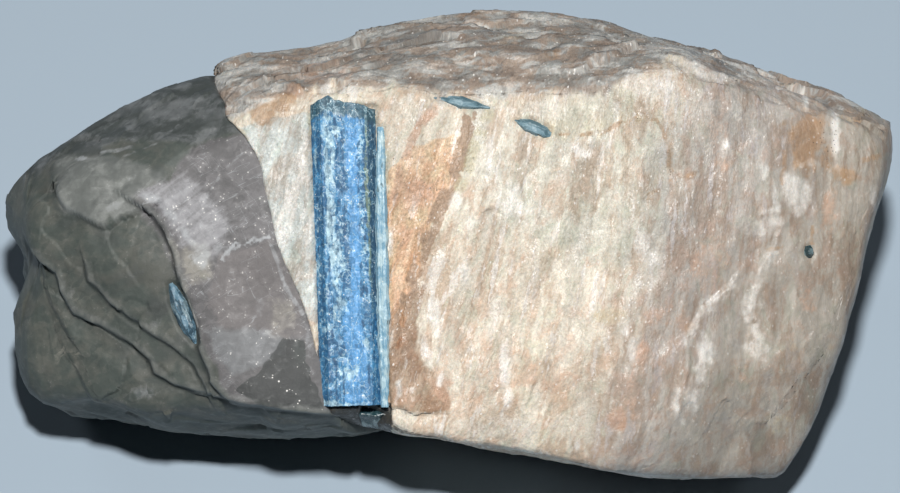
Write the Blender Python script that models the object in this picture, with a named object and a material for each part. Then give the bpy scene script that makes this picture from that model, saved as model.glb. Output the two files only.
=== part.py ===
"""Aquamarine in matrix: a hand specimen broken from a pegmatite.

One long blue beryl prism lies in the broken face of a lump of feldspar, a lump of smoky quartz is grown on
to the feldspar's left end, and a few smaller beryls show beside them. Every piece fills its own pocket.

The fractured outside is worked out in the face frame, in millimetres: across the broken face (+X),
up the face, and out of the face. The face leans back 30 degrees as the stone lies on its flat base.
"""
import math

import bmesh
import bpy
import numpy as np
from mathutils import Vector

MM = 0.001

# Driving dimensions of the whole stone, in millimetres and degrees.
FACE_LEAN = 60.0  # angle between the base and the line that points out of the broken face
FACE_HEIGHT = 26.0  # height of the face frame's origin over the base
CENTRE_ACROSS = -0.11  # middle of the stone's outline, measured from the face frame's origin
CENTRE_BACK = -0.55
BASE_SPARE = 3.0  # how far the stone is traced past its base and its seam before it is cut flat there
CLEARANCE = 0.3  # gap between two pieces

# A facet is a broken plane: the direction it faces across the face (degrees from +X), how far it turns
# away from straight out, and a point it passes through.
FACE_FACETS = (
    (185, 7, (-14, 0, 17.3)),
    (200, 2, (10, 0, 18.6)),
    (-12, 15, (29, 0, 18.2)),
    (-52, 40, (42, -20, 10.0)),
)
QUARTZ_FACETS = (
    (150, 5, (-27, 0, 16.8)),
    (206, 30, (-38.5, -2.0, 15.4)),
    (112, 48, (-38, 12.6, 13.6)),
)

# A side is two facets that meet at a rim: the direction it faces, how far out the rim lies, the rim's
# depth, and how far the facet in front of the rim and the one behind it turn away from straight out.
FELDSPAR_SIDES = (
    (135.0, 39.4, 1, 64, 112),
    (102.5, 29.5, -2, 70, 118),
    (91.6, 31.2, -7, 67.5, 120),
    (73.3, 33.4, 0, 74, 116),
    (62.8, 39.7, 0, 74, 112),
    (28.2, 56.2, 1, 70, 108),
    (-1.0, 56.0, 2, 76, 104),
    (-13.5, 52.7, 3, 78, 102),
    (-24.8, 52.0, 3, 76, 100),
    (-33.7, 51.4, 3, 74, 98),
    (-90.0, 29.8, 5, 76, 92),
    (-101.5, 23.5, 6, 80, 91),
)
QUARTZ_SIDES = (
    (-82.0, 22.3, 5, 80, 92),
    (107.7, 30.4, 2, 66, 112),
    (123.5, 38.3, 3, 60, 110),
    (145.7, 51.3, 2, 55, 106),
    (178.0, 56.4, -3, 70, 100),
    (190.0, 56.6, 0, 70, 100),
    (207.0, 59.3, -3, 70, 100),
    (246.0, 39.9, 0, 72, 97),
    (262.0, 28.0, 2, 78, 94),
    (270.0, 25.4, 5, 80, 92),
)
FELDSPAR_ROUNDING = 0.7
QUARTZ_ROUNDING = 0.9

# The seam between feldspar and quartz: one plane down the face and a second that leans out over the ridge.
SEAM = (198.6, 108, (-22.4, 0.3, 17))
SEAM_OVER_RIDGE = (221, 104, (-26.8, 14.5, 15.5))
BLOCK_REACH = 60.0  # half the size of the block that cuts the seam

# Bumps and dents: centre, width, height (dents are negative).
BUMPS = (
    ((-15, 26.5, 2), 4.0, -1.1),
    ((28.5, 23, 12), 5.0, 1.9),
    ((8, -25.5, 8), 7.0, -1.0),
    ((6.5, 17.5, 17.5), 5.0, -1.2),
    ((26.3, 9.3, 18), 1.5, -0.9),
    ((43.5, 12, 14), 2.4, -1.1),
)
SLOW_WAVE = (15.0, 0.55)  # spacing and height of the broad unevenness
QUICK_WAVE = (6.5, 0.3)

# Ledges of the quartz's stepped flank: the edge as points in the face, the drop below it, and the
# distance over which the next tread climbs back.
LEDGES = (
    (((-48, 9.6), (-45.8, 8.1), (-42.8, 3.9), (-39.8, 2.2), (-36.7, 3), (-34.8, 1.8), (-32.4, -4.1),
      (-29.4, -12.7), (-24.5, -18.2), (-13.5, -20.5)), 1.1, 9.0),
    (((-48, 2.6), (-45.7, -1.8), (-45, -4.1), (-42.4, -6.7), (-38.5, -9.5), (-36.9, -12.5)), 0.7, 5.0),
    (((-53.2, -0.4), (-51.8, -1.9), (-48.8, -3.6), (-47, -7.7), (-43.2, -10.7), (-40.2, -12.5),
      (-37.6, -14.5), (-36.2, -16.6), (-33.4, -18.2), (-27.1, -19.4)), 1.0, 8.0),
    (((-36.9, -1.9), (-36.1, -4.7), (-34.2, -7.6), (-32.8, -10.9), (-31.2, -13.9), (-28.9, -17)), 0.6, 3.0),
)
LEDGE_EDGE = 0.6  # width of a ledge's broken edge
LEDGE_FADE = 3.0  # distance in which a ledge dies out past its ends
LEDGE_DEPTH = 5.0  # depth from which the ledges have their full drop

# Where each body is traced from: the two ends of a line inside it, and how finely it is traced.
FELDSPAR_SPINE = ((-12, 0, -2), (38, -2, -4))
QUARTZ_SPINE = ((-44, -4, -2), (-18, -4, -12))
TRACE_RINGS = 90
TRACE_FAN = 30
TRACE_AROUND = 110
FAR = 90.0  # longer than any ray inside the stone
HALVINGS = 22  # times a ray's interval is halved
FELDSPAR_TRIANGLES = 5200
QUARTZ_TRIANGLES = 3200

# Crystals: lower end, upper end, and the outline of the cross-section as (sideways, outwards) corners
# from the axis. A crystal's ends taper to the given fractions of the section.
PRISM = {
    "foot": (-12.0, -19.4, 15.0),
    "head": (-13.1, 17.1, 15.3),
    "corners": ((-3.9, 1.5), (-2.8, 2.8), (2.4, 2.9), (3.5, 1.4), (2.3, -2.9), (-2.7, -3.0)),
    "taper": (0.88, 0.99),
}
SLIVER = {
    "foot": (-8.05, -19.6, 16.1),
    "head": (-8.4, 16.2, 16.7),
    "corners": ((-0.6, 0.9), (-0.3, 1.5), (0.5, 1.6), (0.6, 1.2), (0.5, -1.2), (-0.5, -1.3)),
    "taper": (0.85, 0.9),
}
STUB = {
    "foot": (-9.0, -22.2, 12.6),
    "head": (-9.0, -20.4, 13.4),
    "corners": ((-1.5, 1.2), (0, 1.7), (1.5, 1.3), (1.6, -1.2), (0, -1.8), (-1.5, -1.3)),
    "taper": (0.9, 1.0),
}
SPINDLE_BY_RIDGE = {
    "foot": (4.9, 17.5, 16.6),
    "head": (-1.2, 17.4, 16.9),
    "corners": ((-0.9, 0.1), (-0.5, 0.75), (0.5, 0.8), (0.9, 0), (0.5, -0.8), (-0.5, -0.8)),
    "taper": (0.12, 0.12),
}
SPINDLE_ON_FACE = {
    "foot": (13.2, 13.2, 17.6),
    "head": (7.9, 15.4, 17.1),
    "corners": ((-0.85, 0.1), (-0.5, 0.85), (0.5, 0.9), (0.85, 0), (0.5, -0.8), (-0.5, -0.8)),
    "taper": (0.12, 0.12),
}
GRAIN = {
    "foot": (44.1, -1.4, 13.9),
    "head": (43.8, 0.1, 13.9),
    "corners": ((-0.6, 0.2), (0, 0.75), (0.6, 0.3), (0.5, -0.6), (-0.5, -0.6)),
    "taper": (0.4, 0.5),
}
WEDGE = {
    "foot": (-31.1, -11.9, 14.3),
    "head": (-34.2, -4.5, 14.2),
    "corners": ((-1.0, 0.2), (-0.5, 1.1), (0.6, 1.2), (1.1, 0.3), (0.6, -1.1), (-0.6, -1.1)),
    "taper": (0.25, 0.35),
}
SWELL = 0.3  # where a tapered crystal reaches its full section, as a fraction of its length


def clear_scene():
    """Remove whatever the scene holds."""
    for obj in list(bpy.data.objects):
        bpy.data.objects.remove(obj)


def material(name, color, roughness):
    """A plain Principled material."""
    made = bpy.data.materials.new(name)
    made.use_nodes = True
    shader = made.node_tree.nodes["Principled BSDF"]
    shader.inputs["Base Color"].default_value = (*color, 1.0)
    shader.inputs["Roughness"].default_value = roughness
    shader.inputs["Metallic"].default_value = 0.0
    return made


def face_axes():
    """The face frame's axes in the stone's own frame, one per row."""
    lean = math.radians(FACE_LEAN)
    return np.array([
        [1, 0, 0],
        [0, math.sin(lean), math.cos(lean)],
        [0, -math.cos(lean), math.sin(lean)],
    ])


def to_stone(points):
    """Points of the face frame in the stone's own frame, still in millimetres."""
    return np.asarray(points, float) @ face_axes() + [-CENTRE_ACROSS, -CENTRE_BACK, FACE_HEIGHT]


def facet_plane(towards, away, through):
    """A facet's outward normal and its distance from the face frame's origin."""
    around = math.radians(towards)
    turn = math.radians(away)
    normal = np.array([
        math.sin(turn) * math.cos(around),
        math.sin(turn) * math.sin(around),
        math.cos(turn),
    ])
    return normal, float(normal @ np.array(through, float))


def side_planes(towards, rim_reach, rim_depth, front, behind):
    """The two facets that meet at a side's rim."""
    around = math.radians(towards)
    rim = (rim_reach * math.cos(around), rim_reach * math.sin(around), rim_depth)
    return facet_plane(towards, front, rim), facet_plane(towards, behind, rim)


def feldspar_planes():
    """Every facet of the feldspar."""
    planes = [facet_plane(*facet) for facet in FACE_FACETS]
    for side in FELDSPAR_SIDES:
        planes.extend(side_planes(*side))
    return planes


def quartz_planes():
    """Every facet of the quartz, with the feldspar's back facets that run on behind it."""
    planes = [facet_plane(*facet) for facet in QUARTZ_FACETS]
    for side in QUARTZ_SIDES:
        planes.extend(side_planes(*side))
    for side in FELDSPAR_SIDES[1:4]:
        planes.append(side_planes(*side)[1])
    return planes


def hashed(corner, seed):
    """A well-mixed whole number for each lattice corner."""
    mixed = corner[:, 0] * 374761393 + corner[:, 1] * 668265263 + corner[:, 2] * 2246822519
    mixed = (mixed + seed * 3266489917) & 0xFFFFFFFF
    mixed = ((mixed ^ (mixed >> 13)) * 1274126177) & 0xFFFFFFFF
    mixed = ((mixed ^ (mixed >> 16)) * 2246822519) & 0xFFFFFFFF
    return mixed ^ (mixed >> 15)


def wave(points, spacing, height, seed):
    """Smooth unevenness: gradient noise with the given spacing between its hills."""
    scaled = points / spacing
    cell = np.floor(scaled).astype(np.int64)
    inside = scaled - cell
    eased = inside ** 3 * (inside * (inside * 6 - 15) + 10)
    total = np.zeros(len(points))
    for corner in np.ndindex(2, 2, 2):
        corner = np.array(corner)
        number = hashed(cell + corner, seed)
        slope = np.stack([number & 1023, (number >> 10) & 1023, (number >> 20) & 1023], 1) / 511.5 - 1
        weight = np.where(corner, eased, 1 - eased).prod(1)
        total += weight * (slope * (inside - corner)).sum(1)
    return 1.5 * height * total


def soft_largest(values, rounding):
    """The largest of several fields, with the edge where two of them meet rounded off."""
    largest = values.max(0)
    return largest + rounding * np.log(np.exp((values - largest) / rounding).sum(0))


def faceted(points, planes, rounding):
    """Height over a solid bounded by planes, negative inside."""
    return soft_largest(np.stack([points @ normal - distance for normal, distance in planes]), rounding)


def unevenness(points):
    """Bumps, dents and waves of the broken surface."""
    total = wave(points, *SLOW_WAVE, 1) + wave(points, *QUICK_WAVE, 2)
    for centre, width, height in BUMPS:
        apart = ((points - np.array(centre)) ** 2).sum(1)
        total += height * np.exp(-apart / (2 * width ** 2))
    return total


def beside_line(points, line):
    """Distance to the right of a line of points in the face, and how far a point lies past its ends."""
    flat = points[:, :2]
    nearest = np.full(len(flat), np.inf)
    signed = np.zeros(len(flat))
    past = np.zeros(len(flat))
    for index, (start, end) in enumerate(zip(line[:-1], line[1:])):
        along = np.subtract(end, start)
        length = np.hypot(*along)
        share = ((flat - start) @ along) / length ** 2
        apart = np.hypot(*(flat - start - np.clip(share, 0, 1)[:, None] * along).T)
        right = np.sign(along[1] * (flat[:, 0] - start[0]) - along[0] * (flat[:, 1] - start[1]))
        before = np.maximum(-share, 0) if index == 0 else 0
        beyond = np.maximum(share - 1, 0) if index == len(line) - 2 else 0
        closer = apart < nearest
        nearest = np.where(closer, apart, nearest)
        signed = np.where(closer, apart * right, signed)
        past = np.where(closer, (before + beyond) * length, past)
    return signed, past


def ledge_drop(points):
    """How far the quartz's stepped flank lies below its facets."""
    total = np.zeros(len(points))
    for line, drop, run in LEDGES:
        beyond_edge, past_end = beside_line(points, line)
        step = np.clip(beyond_edge / LEDGE_EDGE + 0.5, 0, 1)
        step = step * step * (3 - 2 * step)
        total += drop * step * np.clip(1 - beyond_edge / run, 0, 1) * np.clip(1 - past_end / LEDGE_FADE, 0, 1)
    return total * np.clip(points[:, 2] / LEDGE_DEPTH, 0, 1)


def past_seam(points):
    """Height over the seam on the quartz's side, negative in the feldspar."""
    planes = (facet_plane(*SEAM), facet_plane(*SEAM_OVER_RIDGE))
    return np.minimum(*[points @ normal - distance for normal, distance in planes])


def feldspar_field(points):
    """Height over the feldspar's outside, a little past the seam and the base."""
    outside = faceted(points, feldspar_planes(), FELDSPAR_ROUNDING) - unevenness(points)
    under = -to_stone(points)[:, 2] - BASE_SPARE
    return np.maximum.reduce([outside, past_seam(points) - BASE_SPARE, under])


def quartz_field(points):
    """Height over the quartz's outside, a little past the seam and the base."""
    outside = faceted(points, quartz_planes(), QUARTZ_ROUNDING) - unevenness(points) + ledge_drop(points)
    under = -to_stone(points)[:, 2] - BASE_SPARE
    return np.maximum.reduce([outside, -past_seam(points) - BASE_SPARE, under])


def rays(spine):
    """Start points and directions that cover a body from a line inside it, one row per ring."""
    start, end = np.array(spine, float)
    axis = (end - start) / np.linalg.norm(end - start)
    sideways = np.cross(axis, [0, 0, 1.0])
    sideways /= np.linalg.norm(sideways)
    upwards = np.cross(sideways, axis)
    fan = np.linspace(-math.pi / 2, 0, TRACE_FAN, endpoint=False)
    lean = np.concatenate([fan, np.zeros(TRACE_RINGS), -fan[::-1]])
    share = np.concatenate([np.zeros(TRACE_FAN), np.linspace(0, 1, TRACE_RINGS), np.ones(TRACE_FAN)])
    turn = np.linspace(0, 2 * math.pi, TRACE_AROUND, endpoint=False)
    ring = np.outer(np.cos(turn), sideways) + np.outer(np.sin(turn), upwards)
    directions = np.cos(lean)[:, None, None] * ring + np.sin(lean)[:, None, None] * axis
    starts = (start + share[:, None] * (end - start))[:, None, :] + np.zeros_like(directions)
    return starts, directions


def trace(field, spine):
    """The surface points where rays from the spine leave the body, found by halving the interval."""
    starts, directions = rays(spine)
    shape = starts.shape
    starts = starts.reshape(-1, 3)
    directions = directions.reshape(-1, 3)
    near = np.zeros(len(starts))
    far = np.full(len(starts), FAR)
    for _ in range(HALVINGS):
        middle = (near + far) / 2
        inside = field(starts + middle[:, None] * directions) < 0
        near = np.where(inside, middle, near)
        far = np.where(inside, far, middle)
    return (starts + near[:, None] * directions).reshape(shape)


def add_object(name, mesh, look=None):
    """Put a mesh in the scene as a named object."""
    obj = bpy.data.objects.new(name, mesh)
    bpy.context.scene.collection.objects.link(obj)
    if look is not None:
        mesh.materials.append(look)
    return obj


def mesh_from(name, build):
    """A mesh made by a function that fills a bmesh."""
    mesh = bpy.data.meshes.new(name)
    shape = bmesh.new()
    build(shape)
    bmesh.ops.recalc_face_normals(shape, faces=shape.faces)
    shape.to_mesh(mesh)
    shape.free()
    return mesh


def fill_from_rings(shape, points):
    """Fill a bmesh with the quads between rings of points; the end rings close to a point."""
    rings, around, _ = points.shape
    first = shape.verts.new(points[0].mean(0))
    last = shape.verts.new(points[-1].mean(0))
    rows = [[shape.verts.new(point) for point in ring] for ring in points[1:-1]]
    for near, far in zip(rows[:-1], rows[1:]):
        for index in range(around):
            after = (index + 1) % around
            shape.faces.new((near[index], near[after], far[after], far[index]))
    for index in range(around):
        after = (index + 1) % around
        shape.faces.new((first, rows[0][after], rows[0][index]))
        shape.faces.new((last, rows[-1][index], rows[-1][after]))


def simplified(mesh, triangles):
    """The same surface with fewer triangles, kept where it bends most."""
    obj = add_object("simplify", mesh)
    modifier = obj.modifiers.new("simplify", "DECIMATE")
    modifier.use_collapse_triangulate = True
    modifier.ratio = triangles / sum(len(face.vertices) - 2 for face in mesh.polygons)
    graph = bpy.context.evaluated_depsgraph_get()
    made = bpy.data.meshes.new_from_object(obj.evaluated_get(graph))
    bpy.data.objects.remove(obj)
    return made


def cut_flat(shape, through, outward):
    """Cut a bmesh off flat and close the cut."""
    everything = shape.verts[:] + shape.edges[:] + shape.faces[:]
    bmesh.ops.bisect_plane(
        shape, geom=everything, dist=1e-7, plane_co=through, plane_no=outward, clear_outer=True
    )
    rim = [edge for edge in shape.edges if edge.is_boundary]
    bmesh.ops.contextual_create(shape, geom=rim)


def stone_body(name, field, spine, triangles, look):
    """A traced body of stone, simplified and cut off flat at the base."""
    points = to_stone(trace(field, spine)) * MM
    traced = mesh_from(name, lambda shape: fill_from_rings(shape, points))
    mesh = simplified(traced, triangles)
    shape = bmesh.new()
    shape.from_mesh(mesh)
    cut_flat(shape, Vector((0, 0, 0)), Vector((0, 0, -1)))
    shape.to_mesh(mesh)
    shape.free()
    return add_object(name, mesh, look)


def hull_mesh(name, points):
    """The convex hull of a set of points."""
    def build(shape):
        for point in points:
            shape.verts.new(point)
        hull = bmesh.ops.convex_hull(shape, input=shape.verts[:])
        loose = [item for item in hull["geom_interior"] if isinstance(item, bmesh.types.BMVert)]
        bmesh.ops.delete(shape, geom=loose, context="VERTS")
    return mesh_from(name, build)


def crystal_points(crystal, grow=0.0):
    """Corners of a crystal's sections along its axis, grown outwards for its pocket."""
    foot, head = np.array(crystal["foot"]), np.array(crystal["head"])
    length = np.linalg.norm(head - foot)
    axis = (head - foot) / length
    outwards = np.array([0, 0, 1.0]) - axis * axis[2]
    outwards /= np.linalg.norm(outwards)
    sideways = np.cross(axis, outwards)
    corners = np.array(crystal["corners"], float)
    reach = np.hypot(*corners.T)[:, None]
    low, high = crystal["taper"]
    shares = (0, SWELL, 1 - SWELL, 1)
    sizes = (low, 1, 1, high)
    sections = []
    for share, size in zip(shares, sizes):
        along = share * (length + 2 * grow) - grow
        corner = corners * (size + grow / reach)
        sections.append(foot + along * axis + corner[:, :1] * sideways + corner[:, 1:] * outwards)
    return to_stone(np.concatenate(sections)) * MM


def crystal_object(name, crystal, look):
    """A crystal as one faceted solid."""
    return add_object(name, hull_mesh(name, crystal_points(crystal)), look)


def cutter(name, points):
    """A solid that only cuts others."""
    obj = add_object(name, hull_mesh(name, points))
    obj.hide_render = True
    obj.display_type = "WIRE"
    return obj


def boolean(obj, operation, other):
    """Cut an object by another, or keep what both share."""
    modifier = obj.modifiers.new(other.name, "BOOLEAN")
    modifier.operation = operation
    modifier.object = other
    modifier.solver = "EXACT"


def cut_pocket(obj, name, crystal):
    """Sink a crystal's pocket into the stone, a clearance wider than the crystal all round."""
    boolean(obj, "DIFFERENCE", cutter(f"pocket_{name}", crystal_points(crystal, CLEARANCE)))


def seam_block(name, shift):
    """A block that fills the quartz's side of the seam, moved into the quartz by the given distance."""
    planes = (facet_plane(*SEAM), facet_plane(*SEAM_OVER_RIDGE))
    corners = []
    for depth in (-BLOCK_REACH, BLOCK_REACH):
        for up in (-BLOCK_REACH, seam_bend(depth, shift), BLOCK_REACH):
            across = min(seam_across(plane, up, depth, shift) for plane in planes)
            corners.append((across, up, depth))
            corners.append((-FAR, up, depth))
    return cutter(name, to_stone(corners) * MM)


def seam_across(plane, up, depth, shift):
    """Where a seam plane, moved by a shift, crosses the given height and depth."""
    normal, distance = plane
    return (distance + shift - normal[1] * up - normal[2] * depth) / normal[0]


def seam_bend(depth, shift):
    """Height at which the two seam planes cross at a depth."""
    (first, one), (second, other) = facet_plane(*SEAM), facet_plane(*SEAM_OVER_RIDGE)
    matrix = np.array([first[:2], second[:2]])
    target = np.array([one + shift - first[2] * depth, other + shift - second[2] * depth])
    return float(np.linalg.solve(matrix, target)[1])


def main():
    """Build every piece of the specimen."""
    clear_scene()
    feldspar_look = material("feldspar", (0.62, 0.50, 0.40), 0.55)
    quartz_look = material("smoky_quartz", (0.24, 0.24, 0.235), 0.3)
    blue_look = material("aquamarine", (0.10, 0.36, 0.62), 0.2)
    pale_look = material("pale_aquamarine", (0.42, 0.60, 0.70), 0.3)
    dark_look = material("dark_beryl", (0.08, 0.17, 0.19), 0.3)

    feldspar = stone_body(
        "feldspar_matrix", feldspar_field, FELDSPAR_SPINE, FELDSPAR_TRIANGLES, feldspar_look
    )
    quartz = stone_body("quartz_mass", quartz_field, QUARTZ_SPINE, QUARTZ_TRIANGLES, quartz_look)
    boolean(feldspar, "DIFFERENCE", seam_block("seam_feldspar", -CLEARANCE / 2))
    boolean(quartz, "INTERSECT", seam_block("seam_quartz", CLEARANCE / 2))

    in_feldspar = (
        ("aquamarine_prism", PRISM, blue_look),
        ("pale_aquamarine_sliver", SLIVER, pale_look),
        ("aquamarine_stub", STUB, dark_look),
        ("aquamarine_spindle_by_ridge", SPINDLE_BY_RIDGE, pale_look),
        ("aquamarine_spindle_on_face", SPINDLE_ON_FACE, pale_look),
        ("beryl_grain", GRAIN, dark_look),
    )
    for name, crystal, look in in_feldspar:
        crystal_object(name, crystal, look)
        cut_pocket(feldspar, name, crystal)
    crystal_object("aquamarine_wedge_in_quartz", WEDGE, pale_look)
    cut_pocket(quartz, "aquamarine_wedge_in_quartz", WEDGE)


main()
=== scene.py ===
# %% [markdown]
# # Aquamarine in matrix
# The object is a hand specimen: one long blue beryl prism that lies in the broken face of a lump of
# feldspar, with a lump of smoky quartz grown on to its left end. Broken stone has no profile to extrude,
# so this lesson writes each lump as a formula, finds its skin with rays, and then roughens the skin.

# %% Load the fixed frame and the tools
import math

import bpy
import numpy as np
from mathutils import Matrix, Vector


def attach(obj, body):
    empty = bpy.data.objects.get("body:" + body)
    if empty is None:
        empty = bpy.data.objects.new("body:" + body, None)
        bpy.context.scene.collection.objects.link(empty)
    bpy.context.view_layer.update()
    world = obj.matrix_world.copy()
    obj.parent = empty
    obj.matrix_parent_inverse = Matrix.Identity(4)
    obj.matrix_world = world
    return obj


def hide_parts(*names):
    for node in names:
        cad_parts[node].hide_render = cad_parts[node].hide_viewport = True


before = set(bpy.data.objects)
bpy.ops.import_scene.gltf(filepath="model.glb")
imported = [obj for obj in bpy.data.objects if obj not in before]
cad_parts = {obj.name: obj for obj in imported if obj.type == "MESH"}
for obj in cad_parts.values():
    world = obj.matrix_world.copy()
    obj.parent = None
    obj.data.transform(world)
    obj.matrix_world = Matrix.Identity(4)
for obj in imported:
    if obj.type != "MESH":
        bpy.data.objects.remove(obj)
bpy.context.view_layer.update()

print("CAD nodes:", ", ".join(sorted(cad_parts)))

# %% [markdown]
# ## The face frame
# A broken face is easiest to describe from straight in front of it. The face leans back as the stone
# lies on its flat base, so all shapes are worked out in millimetres in a frame of their own (across the
# face, up the face, out of the face) and turned into the stone's frame at the very end.

# %% The face frame
MM = 0.001
FACE_LEAN = math.radians(60)
FACE_ORIGIN = np.array([0.11, 0.55, 26.0])
FACE_AXES = np.array([
    [1, 0, 0],
    [0, math.sin(FACE_LEAN), math.cos(FACE_LEAN)],
    [0, -math.cos(FACE_LEAN), math.sin(FACE_LEAN)],
])


def to_stone(points):
    """Face millimetres to the stone's millimetres: a turn about the across axis, then a shift."""
    return points @ FACE_AXES + FACE_ORIGIN


print("the face's origin lies", FACE_ORIGIN[2], "mm over the base")

# %% [markdown]
# ## Unevenness
# Every broken surface needs noise at several sizes. Gradient noise gives each corner of a lattice a
# random slope and blends the slopes smoothly. Writing it with numpy keeps it the same on each run, and
# whole arrays of points go through it at once. A spacing with three numbers stretches it into fibres.
# Gradient noise is soft, though, and stone is crisp: so a second kind gives each scattered cell its own
# level and its own tilt, which leaves small flat breaks with sharp steps between them.

# %% Gradient noise on whole arrays of points
CORNER_PRIMES = np.array([374761393, 668265263, 2246822519])
SEED_PRIME = 3266489917
MIXING_STEPS = ((13, 1274126177), (16, 2246822519))  # bits to shift by, and factor
LAST_SHIFT = 15
ALL_BITS = 0xFFFFFFFF
LARGEST_PART = 1023  # fills ten bits
WAVE_GAIN = 1.5  # brings the noise's usual reach up to the height that is asked for


def hashed(corner, seed):
    """A well-mixed whole number for each lattice corner: shift, mix in and multiply, twice over."""
    mixed = (corner @ CORNER_PRIMES + seed * SEED_PRIME) & ALL_BITS
    for shift, factor in MIXING_STEPS:
        mixed = ((mixed ^ (mixed >> shift)) * factor) & ALL_BITS
    return mixed ^ (mixed >> LAST_SHIFT)


def three_parts(number):
    """The lowest thirty bits of each number, as three whole numbers from 0 to LARGEST_PART."""
    return np.stack([number >> bits & LARGEST_PART for bits in (0, 10, 20)], 1)


def wave(points, spacing, height, seed):
    """Sum over a cell's eight corners of slope times offset, each with an eased weight."""
    scaled = points / np.asarray(spacing, float)
    cell = np.floor(scaled).astype(np.int64)
    inside = scaled - cell
    eased = inside ** 3 * (inside * (inside * 6 - 15) + 10)
    total = np.zeros(len(points))
    for corner in np.ndindex(2, 2, 2):
        corner = np.array(corner)
        slope = three_parts(hashed(cell + corner, seed)) / (LARGEST_PART / 2) - 1
        weight = np.where(corner, eased, 1 - eased).prod(1)
        total += weight * (slope * (inside - corner)).sum(1)
    return WAVE_GAIN * height * total


check = np.stack([np.linspace(0, 9, 7)] * 3, 1) + 0.3
print("noise at seven points:", wave(check, 1.0, 1.0, 5).round(3))

# %% Steps, broken cells and bending
SEED_APART = 1000  # between the seeds of the cells' centres and of their slopes
LEVEL_SHIFT = 8
LARGEST_LEVEL = 255  # fills eight bits


def eased_step(values, low, high):
    """0 below low, 1 above high, and a smooth rise between."""
    share = np.clip((values - low) / (high - low), 0, 1)
    return share * share * (3 - 2 * share)


def broken_cells(points, spacing, seed):
    """Nearest of scattered centres: its level, its random tilt at this point, and the gap to the next."""
    scaled = points / np.asarray(spacing, float)
    cell = np.floor(scaled).astype(np.int64)
    nearest = np.full(len(points), np.inf)
    second = np.full(len(points), np.inf)
    level = np.zeros(len(points))
    tilt = np.zeros(len(points))
    for corner in np.ndindex(3, 3, 3):
        corner = np.array(corner) - 1
        centre = three_parts(hashed(cell + corner, seed)) / LARGEST_PART
        other = hashed(cell + corner, seed + SEED_APART)
        slope = three_parts(other) / (LARGEST_PART / 2) - 1
        away = scaled - cell - corner - centre
        apart = np.sqrt((away ** 2).sum(1))
        closer = apart < nearest
        second = np.where(closer, nearest, np.minimum(second, apart))
        own = (other >> LEVEL_SHIFT & LARGEST_LEVEL) / (LARGEST_LEVEL / 2) - 1
        level = np.where(closer, own, level)
        tilt = np.where(closer, (slope * away).sum(1), tilt)
        nearest = np.minimum(nearest, apart)
    return level, tilt, second - nearest


def bent(points, spacing, reach, seed):
    """Points pushed about by noise, so that what is drawn on them gets wandering edges."""
    push = [wave(points, spacing, reach, seed + axis) for axis in range(3)]
    return points + np.stack(push, 1)


print("levels of broken cells there:", broken_cells(check, 1.0, 5)[0].round(3))

# %% [markdown]
# ## The facets
# A lump of broken stone is bounded by a few big fracture planes. A facet is given by the direction it
# faces, how far it turns away from straight out, and a point on it. A side is two facets that meet at a
# rim. The height over the solid is the largest distance over any plane, with the edges rounded off.

# %% Facets of both lumps
FACE_FACETS = (  # direction, turn away from straight out, point on it
    (185, 7, (-14, 0, 17.3)),
    (200, 2, (10, 0, 18.6)),
    (-12, 15, (29, 0, 18.2)),
    (-52, 40, (42, -20, 10.0)),
    (97, 45, (0, 19.2, 18.2)),
    (-98, 20, (0, -21.6, 17.9)),
)
QUARTZ_FACETS = (
    (150, 5, (-27, 0, 16.8)),
    (206, 30, (-38.5, -2.0, 15.4)),
    (112, 48, (-38, 12.6, 13.6)),
    (22, 8, (-19, -7.5, 16.7)),
)
FELDSPAR_SIDES = (  # direction, reach of the rim, its depth, turn in front of it and behind it
    (138.0, 37.4, 1, 64, 112),
    (102.5, 29.5, -2, 70, 118),
    (91.6, 31.6, -7, 67.5, 120),
    (73.3, 33.0, 0, 74, 116),
    (62.8, 40.0, 0, 74, 112),
    (28.2, 58.2, 1, 70, 108),
    (-1.0, 55.8, 2, 78, 104),
    (-13.5, 51.1, 3, 82, 102),
    (-24.8, 50.9, 3, 80, 100),
    (-33.7, 51.6, 3, 74, 98),
    (-90.0, 29.3, 5, 82, 92),
    (-101.5, 24.2, 6, 87, 91),
)
QUARTZ_SIDES = (
    (-82.0, 22.3, 5, 80, 92),
    (107.7, 30.4, 2, 66, 112),
    (123.5, 38.3, 3, 60, 110),
    (145.7, 51.3, 2, 55, 106),
    (178.0, 56.4, -3, 70, 100),
    (190.0, 56.6, 0, 70, 100),
    (207.0, 58.7, -3, 70, 100),
    (229.0, 50.0, 0, 74, 98),
    (246.0, 39.8, 0, 75, 97),
    (262.0, 28.1, 2, 77, 94),
    (270.0, 25.5, 5, 82, 92),
)
FELDSPAR_ROUNDING = 0.7
QUARTZ_ROUNDING = 0.9


def facet_plane(towards, away, through):
    """A facet's outward normal and its distance from the face frame's origin."""
    around = math.radians(towards)
    turn = math.radians(away)
    normal = np.array([
        math.sin(turn) * math.cos(around),
        math.sin(turn) * math.sin(around),
        math.cos(turn),
    ])
    return normal, float(normal @ np.array(through, float))


def side_planes(towards, reach, depth, front, behind):
    """The two facets that meet at a side's rim."""
    around = math.radians(towards)
    rim = (reach * math.cos(around), reach * math.sin(around), depth)
    return facet_plane(towards, front, rim), facet_plane(towards, behind, rim)


def all_planes(facets, sides, others=()):
    """Facets, both planes of every side and any others: an array of normals and one of distances."""
    planes = [facet_plane(*facet) for facet in facets]
    planes += [plane for side in sides for plane in side_planes(*side)]
    planes += others
    return np.array([plane[0] for plane in planes]), np.array([plane[1] for plane in planes])


def soft_largest(values, rounding):
    """The largest of several fields: log of the summed exponentials, which rounds the edges."""
    largest = values.max(0)
    return largest + rounding * np.log(np.exp((values - largest) / rounding).sum(0))


def faceted(points, planes, rounding):
    """Height over a solid bounded by planes, negative inside."""
    normals, distances = planes
    return soft_largest(normals @ points.T - distances[:, None], rounding)


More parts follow.
